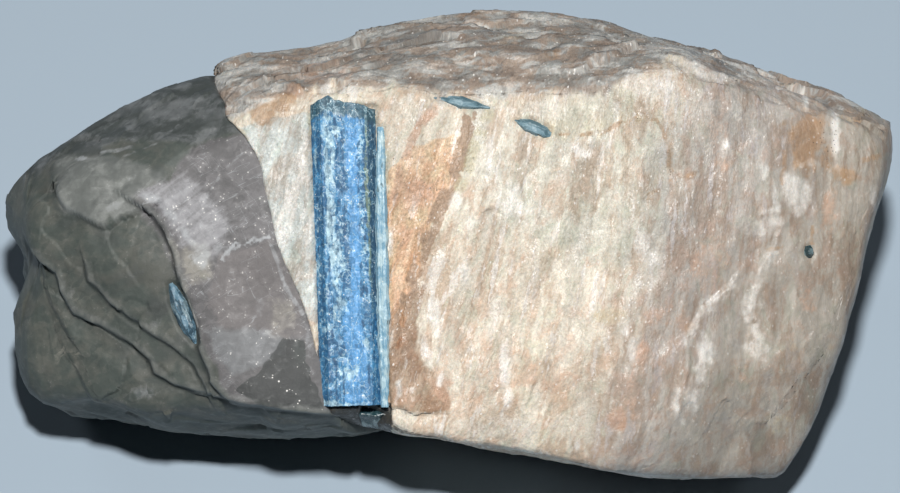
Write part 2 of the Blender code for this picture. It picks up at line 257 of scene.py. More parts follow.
BEHIND_BOTH = [side_planes(*side)[1] for side in FELDSPAR_SIDES[1:4]]  # these run on behind the quartz
FELDSPAR_PLANES = all_planes(FACE_FACETS, FELDSPAR_SIDES)
QUARTZ_PLANES = all_planes(QUARTZ_FACETS, QUARTZ_SIDES, BEHIND_BOTH)
print("facets of the feldspar:", len(FELDSPAR_PLANES[1]), "and of the quartz:", len(QUARTZ_PLANES[1]))

# %% [markdown]
# ## The seam, the dents and the ledges
# Quartz and feldspar grew against each other, so one wandering line down the face parts them, and the
# seam dips under the feldspar from there. Dents are soft bells. A ledge is a step along a drawn line:
# the stone drops at the line and climbs back over the tread, as conchoidal quartz does when it breaks.

# %% The seam
SEAM = np.array([  # across and up, from the lower end to the top
    (-13.6, -30.0), (-15.3, -20.2), (-15.6, -16.9), (-16.8, -11.4), (-18.3, -6.5), (-20.4, -1.9),
    (-21.4, 0.8), (-22.6, 5.8), (-23.2, 9.0), (-24.0, 11.4), (-25.2, 13.4), (-27.0, 15.0),
    (-28.9, 15.9), (-29.2, 17.0), (-30.2, 17.9), (-32.0, 19.0), (-33.6, 20.2), (-35.2, 21.2),
    (-37.0, 23.0), (-38.5, 26.0), (-39.5, 34.0),
])
SEAM_DEPTH = 17.0  # depth of the face, where the seam's line is drawn
SEAM_DIP = 0.343  # how far the seam moves across for each millimetre of depth
SEAM_TURN = 0.9  # distance past the seam for each millimetre across
SEAM_WAVER = (5.0, 0.15)
SEAM_OVERLAP = 0.3
SEAM_ROUNDING = 0.2
BASE_ROUNDING = 0.5


def seam_across(up, depth):
    """Where the seam lies: the drawn line's place at this height, moved by the dip."""
    return np.interp(up, SEAM[:, 1], SEAM[:, 0]) + SEAM_DIP * (SEAM_DEPTH - depth)


def past_seam(points):
    """Distance past the seam on the quartz's side, with a slow waver."""
    apart = seam_across(points[:, 1], points[:, 2]) - points[:, 0]
    return SEAM_TURN * apart + wave(points, *SEAM_WAVER, 3)


print("the seam crosses the middle of the face at", seam_across(0.0, SEAM_DEPTH).round(2), "mm")

# %% Dents, waves and ledges
BUMPS = (  # centre, width of the bell, height
    ((-15, 26.5, 2), 4.0, -1.1),
    ((28.5, 23, 12), 5.0, 1.9),
    ((11, -26.5, 8), 6.0, -1.1),
    ((-53.6, -2.4, -2), 2.6, -2.3),
    ((-53.6, -2.8, 4), 2.4, -2.0),
    ((-53.6, -2.8, -8), 2.8, -2.0),
    ((53.0, 9.5, 6), 4.0, 0.9),
    ((-11.0, -23.2, 16.0), 2.3, -3.2),
    ((-42.5, -22.0, 2), 3.2, -3.0),
    ((-54.8, 6.3, -1), 2.2, 0.7),
    ((6.5, 17.5, 17.5), 5.0, -1.2),
    ((26.3, 9.3, 18), 1.5, -0.9),
)
SLOW_WAVE = (15.0, 0.55)  # spacing and height
QUICK_WAVE = (6.5, 0.3)
QUARTZ_LEDGES = (  # line, drop below it, and length of the tread
    (((-39.3, 5.8), (-37.4, 4.7), (-35.3, 2.0), (-33.7, -1.7), (-32.9, -5.4), (-31.5, -9.2), (-30.8, -12.4),
      (-29.4, -16.6), (-26.8, -19.2), (-22.0, -19.9), (-14.6, -20.6)), 1.25, 9.0),
    (((-48.8, 7.4), (-47.2, 4.7), (-42.9, 2.5), (-42.0, 2.3), (-40.6, 3.4), (-39.1, 3.9), (-37.5, 4.5)),
     0.9, 6.0),
    (((-45.0, -2.3), (-44.5, -4.3), (-41.8, -7.0), (-39.1, -9.2), (-35.4, -11.3), (-33.8, -12.4),
      (-31.6, -14.5), (-30.0, -17.7)), 0.9, 6.0),
    (((-52.0, -0.7), (-50.3, -2.3), (-48.8, -3.3), (-48.1, -5.5), (-46.3, -8.2), (-42.9, -9.7),
      (-39.7, -11.8), (-37.0, -14.0), (-36.4, -15.6), (-33.8, -17.2), (-29.5, -18.3), (-23.1, -19.5)),
     1.1, 8.0),
    (((-50.0, -5.3), (-49.4, -7.1), (-48.2, -9.0), (-46.4, -12.0)), 0.35, 4.0),
    (((-46.4, -15.0), (-44.5, -18.7)), 0.4, 4.0),
)
FACE_LEDGES = (
    (((39.9, 1.2), (39.3, -0.5), (37.9, -2.1), (36.7, -4.6), (36.1, -7.3), (37.2, -9.3), (37.7, -11.7)),
     0.45, 5.0),
    (((35.0, -3.6), (34.3, -4.6), (31.0, -7.5), (30.1, -9.1), (29.3, -10.4), (27.0, -11.8)), 0.4, 4.0),
    (((27.8, -15.5), (27.6, -16.5), (27.4, -20.2)), 0.35, 3.0),
    (((-2.0, 12.0), (-3.4, 5.0), (-5.4, -4.0), (-6.6, -12.0)), 0.25, 2.0),
    (((-8.8, -20.0), (-6.1, -19.7), (-4.3, -20.5), (-1.2, -20.3)), 0.5, 2.0),
)
print("ledges:", len(QUARTZ_LEDGES), "on the quartz and", len(FACE_LEDGES), "on the feldspar")

# %% Heights over both lumps
QUARTZ_LEDGE_EDGE = 0.45  # width of the drop at a ledge's line
FACE_LEDGE_EDGE = 0.35
LEDGE_FADE = 3.0  # length over which a ledge dies out past the ends of its line
LEDGE_DEPTH = 5.0  # depth from which the ledges have their full drop


def unevenness(points):
    """Dents as bells on top of two waves."""
    total = wave(points, *SLOW_WAVE, 1) + wave(points, *QUICK_WAVE, 2)
    for centre, width, height in BUMPS:
        total += height * np.exp(-((points - np.array(centre)) ** 2).sum(1) / (2 * width ** 2))
    return total


def beside_line(points, line):
    """Distance to the right of a line in the face, and how far a point lies past its ends."""
    flat = points[:, :2]
    nearest = np.full(len(flat), np.inf)
    signed = np.zeros(len(flat))
    past = np.zeros(len(flat))
    for index, (start, end) in enumerate(zip(line[:-1], line[1:])):
        along = np.subtract(end, start)
        length = np.hypot(*along)
        share = ((flat - start) @ along) / length ** 2
        apart = np.hypot(*(flat - start - np.clip(share, 0, 1)[:, None] * along).T)
        right = np.sign(along[1] * (flat[:, 0] - start[0]) - along[0] * (flat[:, 1] - start[1]))
        before = np.maximum(-share, 0) if index == 0 else 0
        beyond = np.maximum(share - 1, 0) if index == len(line) - 2 else 0
        closer = apart < nearest
        nearest = np.where(closer, apart, nearest)
        signed = np.where(closer, apart * right, signed)
        past = np.where(closer, (before + beyond) * length, past)
    return signed, past


def ledge_drop(points, ledges, edge):
    """Sum of the ledges: a smooth step at the line times a tread that climbs back."""
    total = np.zeros(len(points))
    for line, drop, run in ledges:
        beyond_edge, past_end = beside_line(points, line)
        step = eased_step(beyond_edge, -edge / 2, edge / 2)
        tread = np.clip(1 - beyond_edge / run, 0, 1)
        total += drop * step * tread * np.clip(1 - past_end / LEDGE_FADE, 0, 1)
    return total * np.clip(points[:, 2] / LEDGE_DEPTH, 0, 1)


def above_base(points):
    """Height under the base plane, negative above it."""
    return -to_stone(points)[:, 2]


def feldspar_height(points):
    """Height over the feldspar: facets, less unevenness, cut at the seam and at the base."""
    outside = faceted(points, FELDSPAR_PLANES, FELDSPAR_ROUNDING) - unevenness(points)
    shape = soft_largest(np.stack([outside, past_seam(points) - SEAM_OVERLAP]), SEAM_ROUNDING)
    return soft_largest(np.stack([shape, above_base(points)]), BASE_ROUNDING)


def quartz_height(points):
    """Height over the quartz, with its stepped flank."""
    outside = faceted(points, QUARTZ_PLANES, QUARTZ_ROUNDING) - unevenness(points)
    outside += ledge_drop(points, QUARTZ_LEDGES, QUARTZ_LEDGE_EDGE)
    shape = soft_largest(np.stack([outside, -past_seam(points) - SEAM_OVERLAP]), SEAM_ROUNDING)
    return soft_largest(np.stack([shape, above_base(points)]), BASE_ROUNDING)


print("height over the feldspar at the frame's origin:", feldspar_height(np.zeros((1, 3))).round(2))

# %% [markdown]
# ## From a formula to a mesh
# The skin is found with rays from a line inside the lump. The rays aim at an even grid on a rough box
# drawn round it, so the mesh is fine and even where the face is looked at and coarse where the lump
# lies on its base. Two parameters number the grid: slices across the stone, and a path round each slice.
# The outward direction at a point is the one in which the height grows fastest.

# %% An even grid of targets
def round_path(stops):
    """A closed path of (up, out) points: each stop gives a corner and the steps to the next one."""
    corners = np.array([stop[:2] for stop in stops], float)
    legs = [
        corner + np.linspace(0, 1, steps, endpoint=False)[:, None] * (after - corner)
        for corner, after, steps in zip(corners, np.roll(corners, -1, 0), [stop[2] for stop in stops])
    ]
    return np.concatenate(legs)


def cap_rows(edge, rows):
    """Rows that grow from the middle of an end of the grid out to that end."""
    middle = edge.mean(0)
    return middle + (np.arange(rows) / rows)[:, None, None] * (edge - middle)


def grid_of_targets(path, left, right, slices, left_cap, right_cap):
    """Slices between two ends, each end a function of the path, with caps that shrink to a point."""
    up, out = path.T
    ends = [left(up, out), right(up, out)]
    share = np.linspace(0, 1, slices)
    across = ends[0] + share[:, None] * (ends[1] - ends[0])
    wall = np.stack([across, np.broadcast_to(up, across.shape), np.broadcast_to(out, across.shape)], -1)
    targets = np.concatenate([cap_rows(wall[0], left_cap), wall, cap_rows(wall[-1], right_cap)[::-1]])
    return targets, np.concatenate([np.zeros(left_cap), share, np.ones(right_cap)])


FELDSPAR_PATH = round_path((  # up, out, and steps to the next corner
    (-27, 14, 176), (19, 18, 88), (31, -5, 36), (12, -37, 16), (-29, -13, 32),
))
QUARTZ_PATH = round_path((
    (-25, 12, 180), (20, 12, 50), (24, -8, 40), (2, -32, 38), (-26, -14, 50),
))
print("points round a slice:", len(FELDSPAR_PATH), "and", len(QUARTZ_PATH))

# %% Rays to the skin
FAR = 90.0  # a distance along a ray that is outside for certain
HALVINGS = 14  # of that distance, down to a few thousandths of a millimetre
SLOPE_REACH = 0.25  # distance to either side over which the height's slope is measured
SMALLEST = 1e-9  # keeps a length of zero from being divided by


def skin(height, spine, targets, shares):
    """Points where the rays from the spine to the targets leave the lump, by halving an interval."""
    start, end = np.array(spine, float)
    starts = start + shares[:, None, None] * (end - start) + np.zeros_like(targets)
    aim = targets - starts
    aim /= np.linalg.norm(aim, axis=-1, keepdims=True)
    starts = starts.reshape(-1, 3)
    aim = aim.reshape(-1, 3)
    near = np.zeros(len(starts))
    far = np.full(len(starts), FAR)
    for _ in range(HALVINGS):
        middle = (near + far) / 2
        inside = height(starts + middle[:, None] * aim) < 0
        near = np.where(inside, middle, near)
        far = np.where(inside, far, middle)
    return (starts + near[:, None] * aim).reshape(targets.shape)


def outward(height, points):
    """Outward directions: how fast the height over the lump grows along each axis, at unit length."""
    steps = SLOPE_REACH * np.eye(3)
    slopes = np.stack([height(points + step) - height(points - step) for step in steps], 1)
    return slopes / np.maximum(np.linalg.norm(slopes, axis=1, keepdims=True), SMALLEST)


print("rays end within", round(FAR / 2 ** HALVINGS, 4), "mm of the skin")

# %% The skins of the two lumps
RIGHT_SIDE = np.array([  # up and across
    (-30, 36.0), (-24, 42.0), (-15, 47.5), (-3, 50.5), (4, 52.0), (13, 53.0), (19, 52.0), (31, 47.0)
])
LEFT_SIDE = np.array([
    (-26, -42.0), (-20, -50.0), (-13, -52.5), (0, -53.5), (7, -53.5), (14, -44.0), (24, -38.0)
])
FELDSPAR_SPINE = ((-16, 9, 4), (38, -2, -4))
QUARTZ_SPINE = ((-44, -4, -2), (-18, -4, -12))
FELDSPAR_AT_SEAM = (0.1, -1.5, 8.0, 20.0)  # shift across, further shift higher up, and from where to where
QUARTZ_AT_SEAM = (-0.1, 7.0, 4.0, 18.0)
FELDSPAR_ROWS = (236, 8, 38)  # slices, rows of the left cap and of the right one
QUARTZ_ROWS = (190, 30, 8)


def end_at_seam(shift, higher, low, high):
    """End of a grid: the seam's place plus a shift, and a further one that grows from low to high."""
    return lambda up, out: seam_across(up, out) + shift + higher * eased_step(up, low, high)


def end_at_line(line):
    """End of a grid: the place across that a line of (up, across) pairs has at this height."""
    return lambda up, out: np.interp(up, *line.T)


feldspar_targets, feldspar_shares = grid_of_targets(
    FELDSPAR_PATH, end_at_seam(*FELDSPAR_AT_SEAM), end_at_line(RIGHT_SIDE), *FELDSPAR_ROWS
)
feldspar_skin = skin(feldspar_height, FELDSPAR_SPINE, feldspar_targets, feldspar_shares)
quartz_targets, quartz_shares = grid_of_targets(
    QUARTZ_PATH, end_at_line(LEFT_SIDE), end_at_seam(*QUARTZ_AT_SEAM), *QUARTZ_ROWS
)
quartz_skin = skin(quartz_height, QUARTZ_SPINE, quartz_targets, quartz_shares)
print("grid of the feldspar:", feldspar_skin.shape[:2], "and of the quartz:", quartz_skin.shape[:2])

# %% [markdown]
# ## The crystals' outlines
# The crystals sit in the face like logs in mud, so their places come before the roughening: the stone
# sinks a little all round each of them. A crystal is a line from foot to head and the corners of its
# cross-section, as (sideways, outwards) from that line. Both ends taper to a fraction of the section.

# %% Places and sections of the crystals
PRISM = {
    "foot": (-12.1, -19.4, 15.0),
    "head": (-13.1, 17.1, 15.3),
    "corners": ((-3.95, 1.4), (-2.75, 2.75), (2.95, 2.9), (4.0, 1.6), (2.4, -2.9), (-2.7, -3.0)),
    "taper": (0.93, 1.0),
    "swell": 0.95,
}
SLIVER = {
    "foot": (-7.95, -19.6, 16.2),
    "head": (-8.5, 14.6, 16.8),
    "corners": ((-0.8, 1.1), (-0.5, 1.6), (0.45, 1.75), (0.8, 1.3), (0.5, -1.2), (-0.5, -1.3)),
    "taper": (0.6, 0.5),
}
STUB = {
    "foot": (-9.1, -21.4, 11.5),
    "head": (-9.2, -19.7, 14.2),
    "corners": ((-1.9, 0.8), (0, 1.3), (1.8, 0.9), (1.9, -1.0), (0, -1.4), (-1.9, -1.0)),
    "taper": (0.9, 1.0),
}
SPINDLE_BY_RIDGE = {
    "foot": (4.9, 16.9, 17.1),
    "head": (-2.2, 18.2, 17.2),
    "corners": ((-0.8, 0.1), (-0.45, 0.7), (0.45, 0.75), (0.8, 0), (0.45, -0.8), (-0.45, -0.8)),
    "taper": (0.12, 0.1),
    "swell": 0.5,
}
SPINDLE_ON_FACE = {
    "foot": (13.2, 13.2, 17.6),
    "head": (7.9, 15.4, 17.1),
    "corners": ((-0.85, 0.1), (-0.5, 0.85), (0.5, 0.9), (0.85, 0), (0.5, -0.8), (-0.5, -0.8)),
    "taper": (0.12, 0.12),
}
GRAIN = {
    "foot": (44.1, -1.4, 13.9),
    "head": (43.8, 0.1, 13.9),
    "corners": ((-0.6, 0.2), (0, 0.75), (0.6, 0.3), (0.5, -0.6), (-0.5, -0.6)),
    "taper": (0.4, 0.5),
}
WEDGE = {
    "foot": (-31.1, -11.9, 14.3),
    "head": (-34.2, -4.5, 14.2),
    "corners": ((-1.0, 0.2), (-0.5, 1.1), (0.6, 1.2), (1.1, 0.3), (0.6, -1.1), (-0.6, -1.1)),
    "taper": (0.25, 0.35),
}
print("corners of the prism's section:", len(PRISM["corners"]))

# %% Directions and outlines of the crystals
SWELL = 0.3  # share of the length over which an end grows to the full section


def crystal_axes(crystal):
    """Length of a crystal, and its along, sideways and outwards directions."""
    foot, head = np.array(crystal["foot"]), np.array(crystal["head"])
    length = float(np.linalg.norm(head - foot))
    axis = (head - foot) / length
    outwards = np.array([0, 0, 1.0]) - axis * axis[2]
    outwards /= np.linalg.norm(outwards)
    return length, axis, np.cross(axis, outwards), outwards


def beside_crystal(points, crystal):
    """Distance in the face from a crystal's outline: the larger of sideways and endways, less its size."""
    length, axis, sideways, _ = crystal_axes(crystal)
    flat = points - np.array(crystal["foot"])
    flat = flat * (1, 1, 0)
    along = flat @ axis
    corners = np.array(crystal["corners"])
    middle = (corners[:, 0].max() + corners[:, 0].min()) / 2
    half = (corners[:, 0].max() - corners[:, 0].min()) / 2
    share = np.clip(along / length, 0, 1)
    low, high = crystal["taper"]
    swell = crystal.get("swell", SWELL)
    size = np.minimum(low + (1 - low) * share / swell, 1)
    size = np.minimum(size, high + (1 - high) * (1 - share) / swell)
    side = np.abs(flat @ sideways - middle) - half * size
    return np.maximum(side, np.maximum(-along, along - length))


for name, crystal in (("prism", PRISM), ("sliver", SLIVER), ("spindle", SPINDLE_ON_FACE)):
    print(name, "is", round(crystal_axes(crystal)[0], 1), "mm long")

# %% [markdown]
# ## Roughening the feldspar
# Feldspar breaks along cleavages. Its face is made of thin upright splinters that step over each other,
# and over the ridge the same layers end one behind the other as flakes. The roughness is a height along
# each point's outward direction, and how much of which kind depends on where that direction points.

# %% Splinters, flakes and hackle
SLANT_ACROSS = (-20.0, 4.0, 18.0, 40.0)
SLANT_DEGREES = (14.0, 14.0, 9.0, 0.0)
SPLINTER_BEND = (2.5, 0.5, 101)  # spacing, reach and seed
SPLINTER_CELLS = ((2.8, 11.0, 6.0), 13)  # spacing and seed
FLAKE_BEND = (4.0, 1.4, 111)
BIG_FLAKE_CELLS = ((12.0, 3.6, 4.0), 21)
FLAKE_CELLS = ((6.0, 1.8, 2.2), 22)


def along_fibres(points):
    """Face coordinates sheared so that the splinters run straight up: across less up times the slant."""
    slant = np.tan(np.radians(np.interp(points[:, 0], SLANT_ACROSS, SLANT_DEGREES)))
    return np.stack([points[:, 0] - slant * points[:, 1], points[:, 1], points[:, 2]], 1)


def splinters(points):
    """Upright cleavage breaks at two sizes, then fibres at three widths."""
    lay = along_fibres(bent(points, *SPLINTER_BEND))
    level, tilt, _ = broken_cells(lay, *SPLINTER_CELLS)
    small_level, small_tilt, _ = broken_cells(lay, (0.9, 3.6, 3.0), 14)
    strength = np.clip(0.5 + wave(points, 8.0, 1.1, 15), 0.1, 1)
    strength *= 1 - 0.7 * eased_step(points[:, 0], 38.0, 46.0)
    return (
        strength * (0.15 * level + 0.24 * tilt) + 0.04 * small_level + 0.07 * small_tilt
        + wave(lay, (0.5, 2.5, 1.0), 0.025, 12) + wave(lay, (1.8, 3.6, 2.5), 0.18, 18)
        + wave(lay, (0.9, 1.6, 1.2), 0.07, 16) + wave(points, 0.45, 0.025, 17)
    )


def top_flakes(points):
    """Layers that end one behind the other: long flat breaks at three sizes, bent by slow noise."""
    moved = bent(points, *FLAKE_BEND)
    level, tilt, _ = broken_cells(moved, *BIG_FLAKE_CELLS)
    second_level, second_tilt, _ = broken_cells(moved, *FLAKE_CELLS)
    third_level, third_tilt, _ = broken_cells(bent(points, 1.5, 0.4, 121), (2.6, 0.8, 1.0), 23)
    edge = 0.25 + 0.75 * eased_step(points[:, 2], -6.0, 3.0)
    return edge * (
        0.22 * level + 0.70 * tilt + 0.09 * second_level + 0.30 * second_tilt
        + 0.02 * third_level + 0.06 * third_tilt
        + wave(points, (4.6, 1.6, 2.4), 0.24, 25) + wave(points, (1.2, 0.7, 0.8), 0.05, 26)
    )


def hackle(points):
    """The plain broken surface of the other sides."""
    moved = bent(points, 4.0, 1.2, 131)
    level, tilt, _ = broken_cells(moved, 6.0, 31)
    second_level, second_tilt, _ = broken_cells(moved, 2.6, 32)
    return (
        0.28 * level + 0.75 * tilt + 0.08 * second_level + 0.3 * second_tilt
        + wave(points, 1.3, 0.14, 33) + wave(points, 0.6, 0.05, 34)
    )


print("splinters at seven points:", splinters(check).round(3))

# %% The roughened feldspar
BASE_BAND = 0.05  # skin closer to the base than this is part of the flat base
CRYSTALS_IN_FELDSPAR = (  # crystal, depth of its bed, width of the bed's rim
    (PRISM, 1.1, 0.35), (SLIVER, 0.6, 0.25), (STUB, 1.0, 0.15), (SPINDLE_BY_RIDGE, 0.25, 0.25),
    (SPINDLE_ON_FACE, 0.3, 0.25), (GRAIN, 0.35, 0.25),
)


def sunk_round(points, crystals):
    """How far the stone sinks under and beside its crystals."""
    total = np.zeros(len(points))
    for crystal, depth, width in crystals:
        total = np.maximum(total, depth * (1 - eased_step(beside_crystal(points, crystal), -0.1, width)))
    return total


def feldspar_roughness(points, normals):
    """Blend of the three kinds by the way a point faces, less the ledges and the crystals' beds."""
    out = eased_step(normals[:, 2], 0.55, 0.85)
    up = eased_step(normals[:, 1], 0.35, 0.65) * eased_step(points[:, 2], -14, -6) * (1 - out)
    rest = 1 - out - up
    calm = 1 - 0.85 * eased_step(points[:, 2], -6.0, 4.0)
    calm = np.minimum(calm, 1 - 0.65 * eased_step(-normals[:, 1], 0.3, 0.6))
    rough = out * splinters(points) + up * top_flakes(points) + rest * calm * hackle(points)
    rough *= eased_step(-past_seam(points), -0.2, 1.5) * 0.7 + 0.3
    rough = rough - out * ledge_drop(points, FACE_LEDGES, FACE_LEDGE_EDGE)
    return rough - sunk_round(points, CRYSTALS_IN_FELDSPAR)


def roughened(points, height, roughness):
    """The grid moved along its outward directions, with the base kept flat."""
    flat = points.reshape(-1, 3)
    normals = outward(height, flat)
    moved = to_stone(flat + roughness(flat, normals)[:, None] * normals)
    unmoved = to_stone(flat)
    stone = np.where(unmoved[:, 2:] < BASE_BAND, unmoved, moved)
    stone[:, 2] = np.maximum(stone[:, 2], 0)
    return stone, normals


feldspar_points, feldspar_out = roughened(feldspar_skin, feldspar_height, feldspar_roughness)
print("feldspar reaches from", feldspar_points.min(0).round(1), "to", feldspar_points.max(0).round(1))
print("share of its points that face out:", (feldspar_out[:, 2] > 0.5).mean().round(3))

# %% [markdown]
# ## Roughening the quartz
# Quartz has no cleavage and breaks like glass: smooth shells with faint ripples, and small steps where
# two cracks met. So its plate stays smooth, its stepped flank gets shells, and only its back is hackly.

# %% The quartz's shells
CRYSTALS_IN_QUARTZ = ((WEDGE, 0.4, 0.5),)
SHELL_BEND = (5.0, 1.4, 141)
SHELL_CELLS = (7.0, 41)


def quartz_roughness(points, normals):
    """A smooth plate, shells with flat breaks on the flanks and hackle behind."""
    plate = eased_step(normals[:, 2], 0.93, 0.985)
    front = eased_step(normals[:, 2], 0.0, 0.3)
    level, tilt, _ = broken_cells(bent(points, *SHELL_BEND), *SHELL_CELLS)
    shells = 0.06 * level + 0.3 * tilt + wave(points, 3.4, 0.22, 43)
    shells += wave(points, 1.5, 0.07, 44) + wave(points, 0.7, 0.02, 45)
    smooth = 0.05 * tilt + wave(points, 4.0, 0.10, 47) + wave(points, 1.5, 0.02, 48)
    calm = 1 - 0.65 * eased_step(points[:, 2], -8.0, 2.0)
    behind = (1 - front) * (1 - plate) * calm * hackle(points)
    rough = plate * smooth + (front - plate * front) * shells + behind
    rough *= eased_step(past_seam(points), -0.2, 1.5) * 0.8 + 0.2
    return rough - sunk_round(points, CRYSTALS_IN_QUARTZ)


quartz_points, quartz_out = roughened(quartz_skin, quartz_height, quartz_roughness)
print("quartz reaches from", quartz_points.min(0).round(1), "to", quartz_points.max(0).round(1))
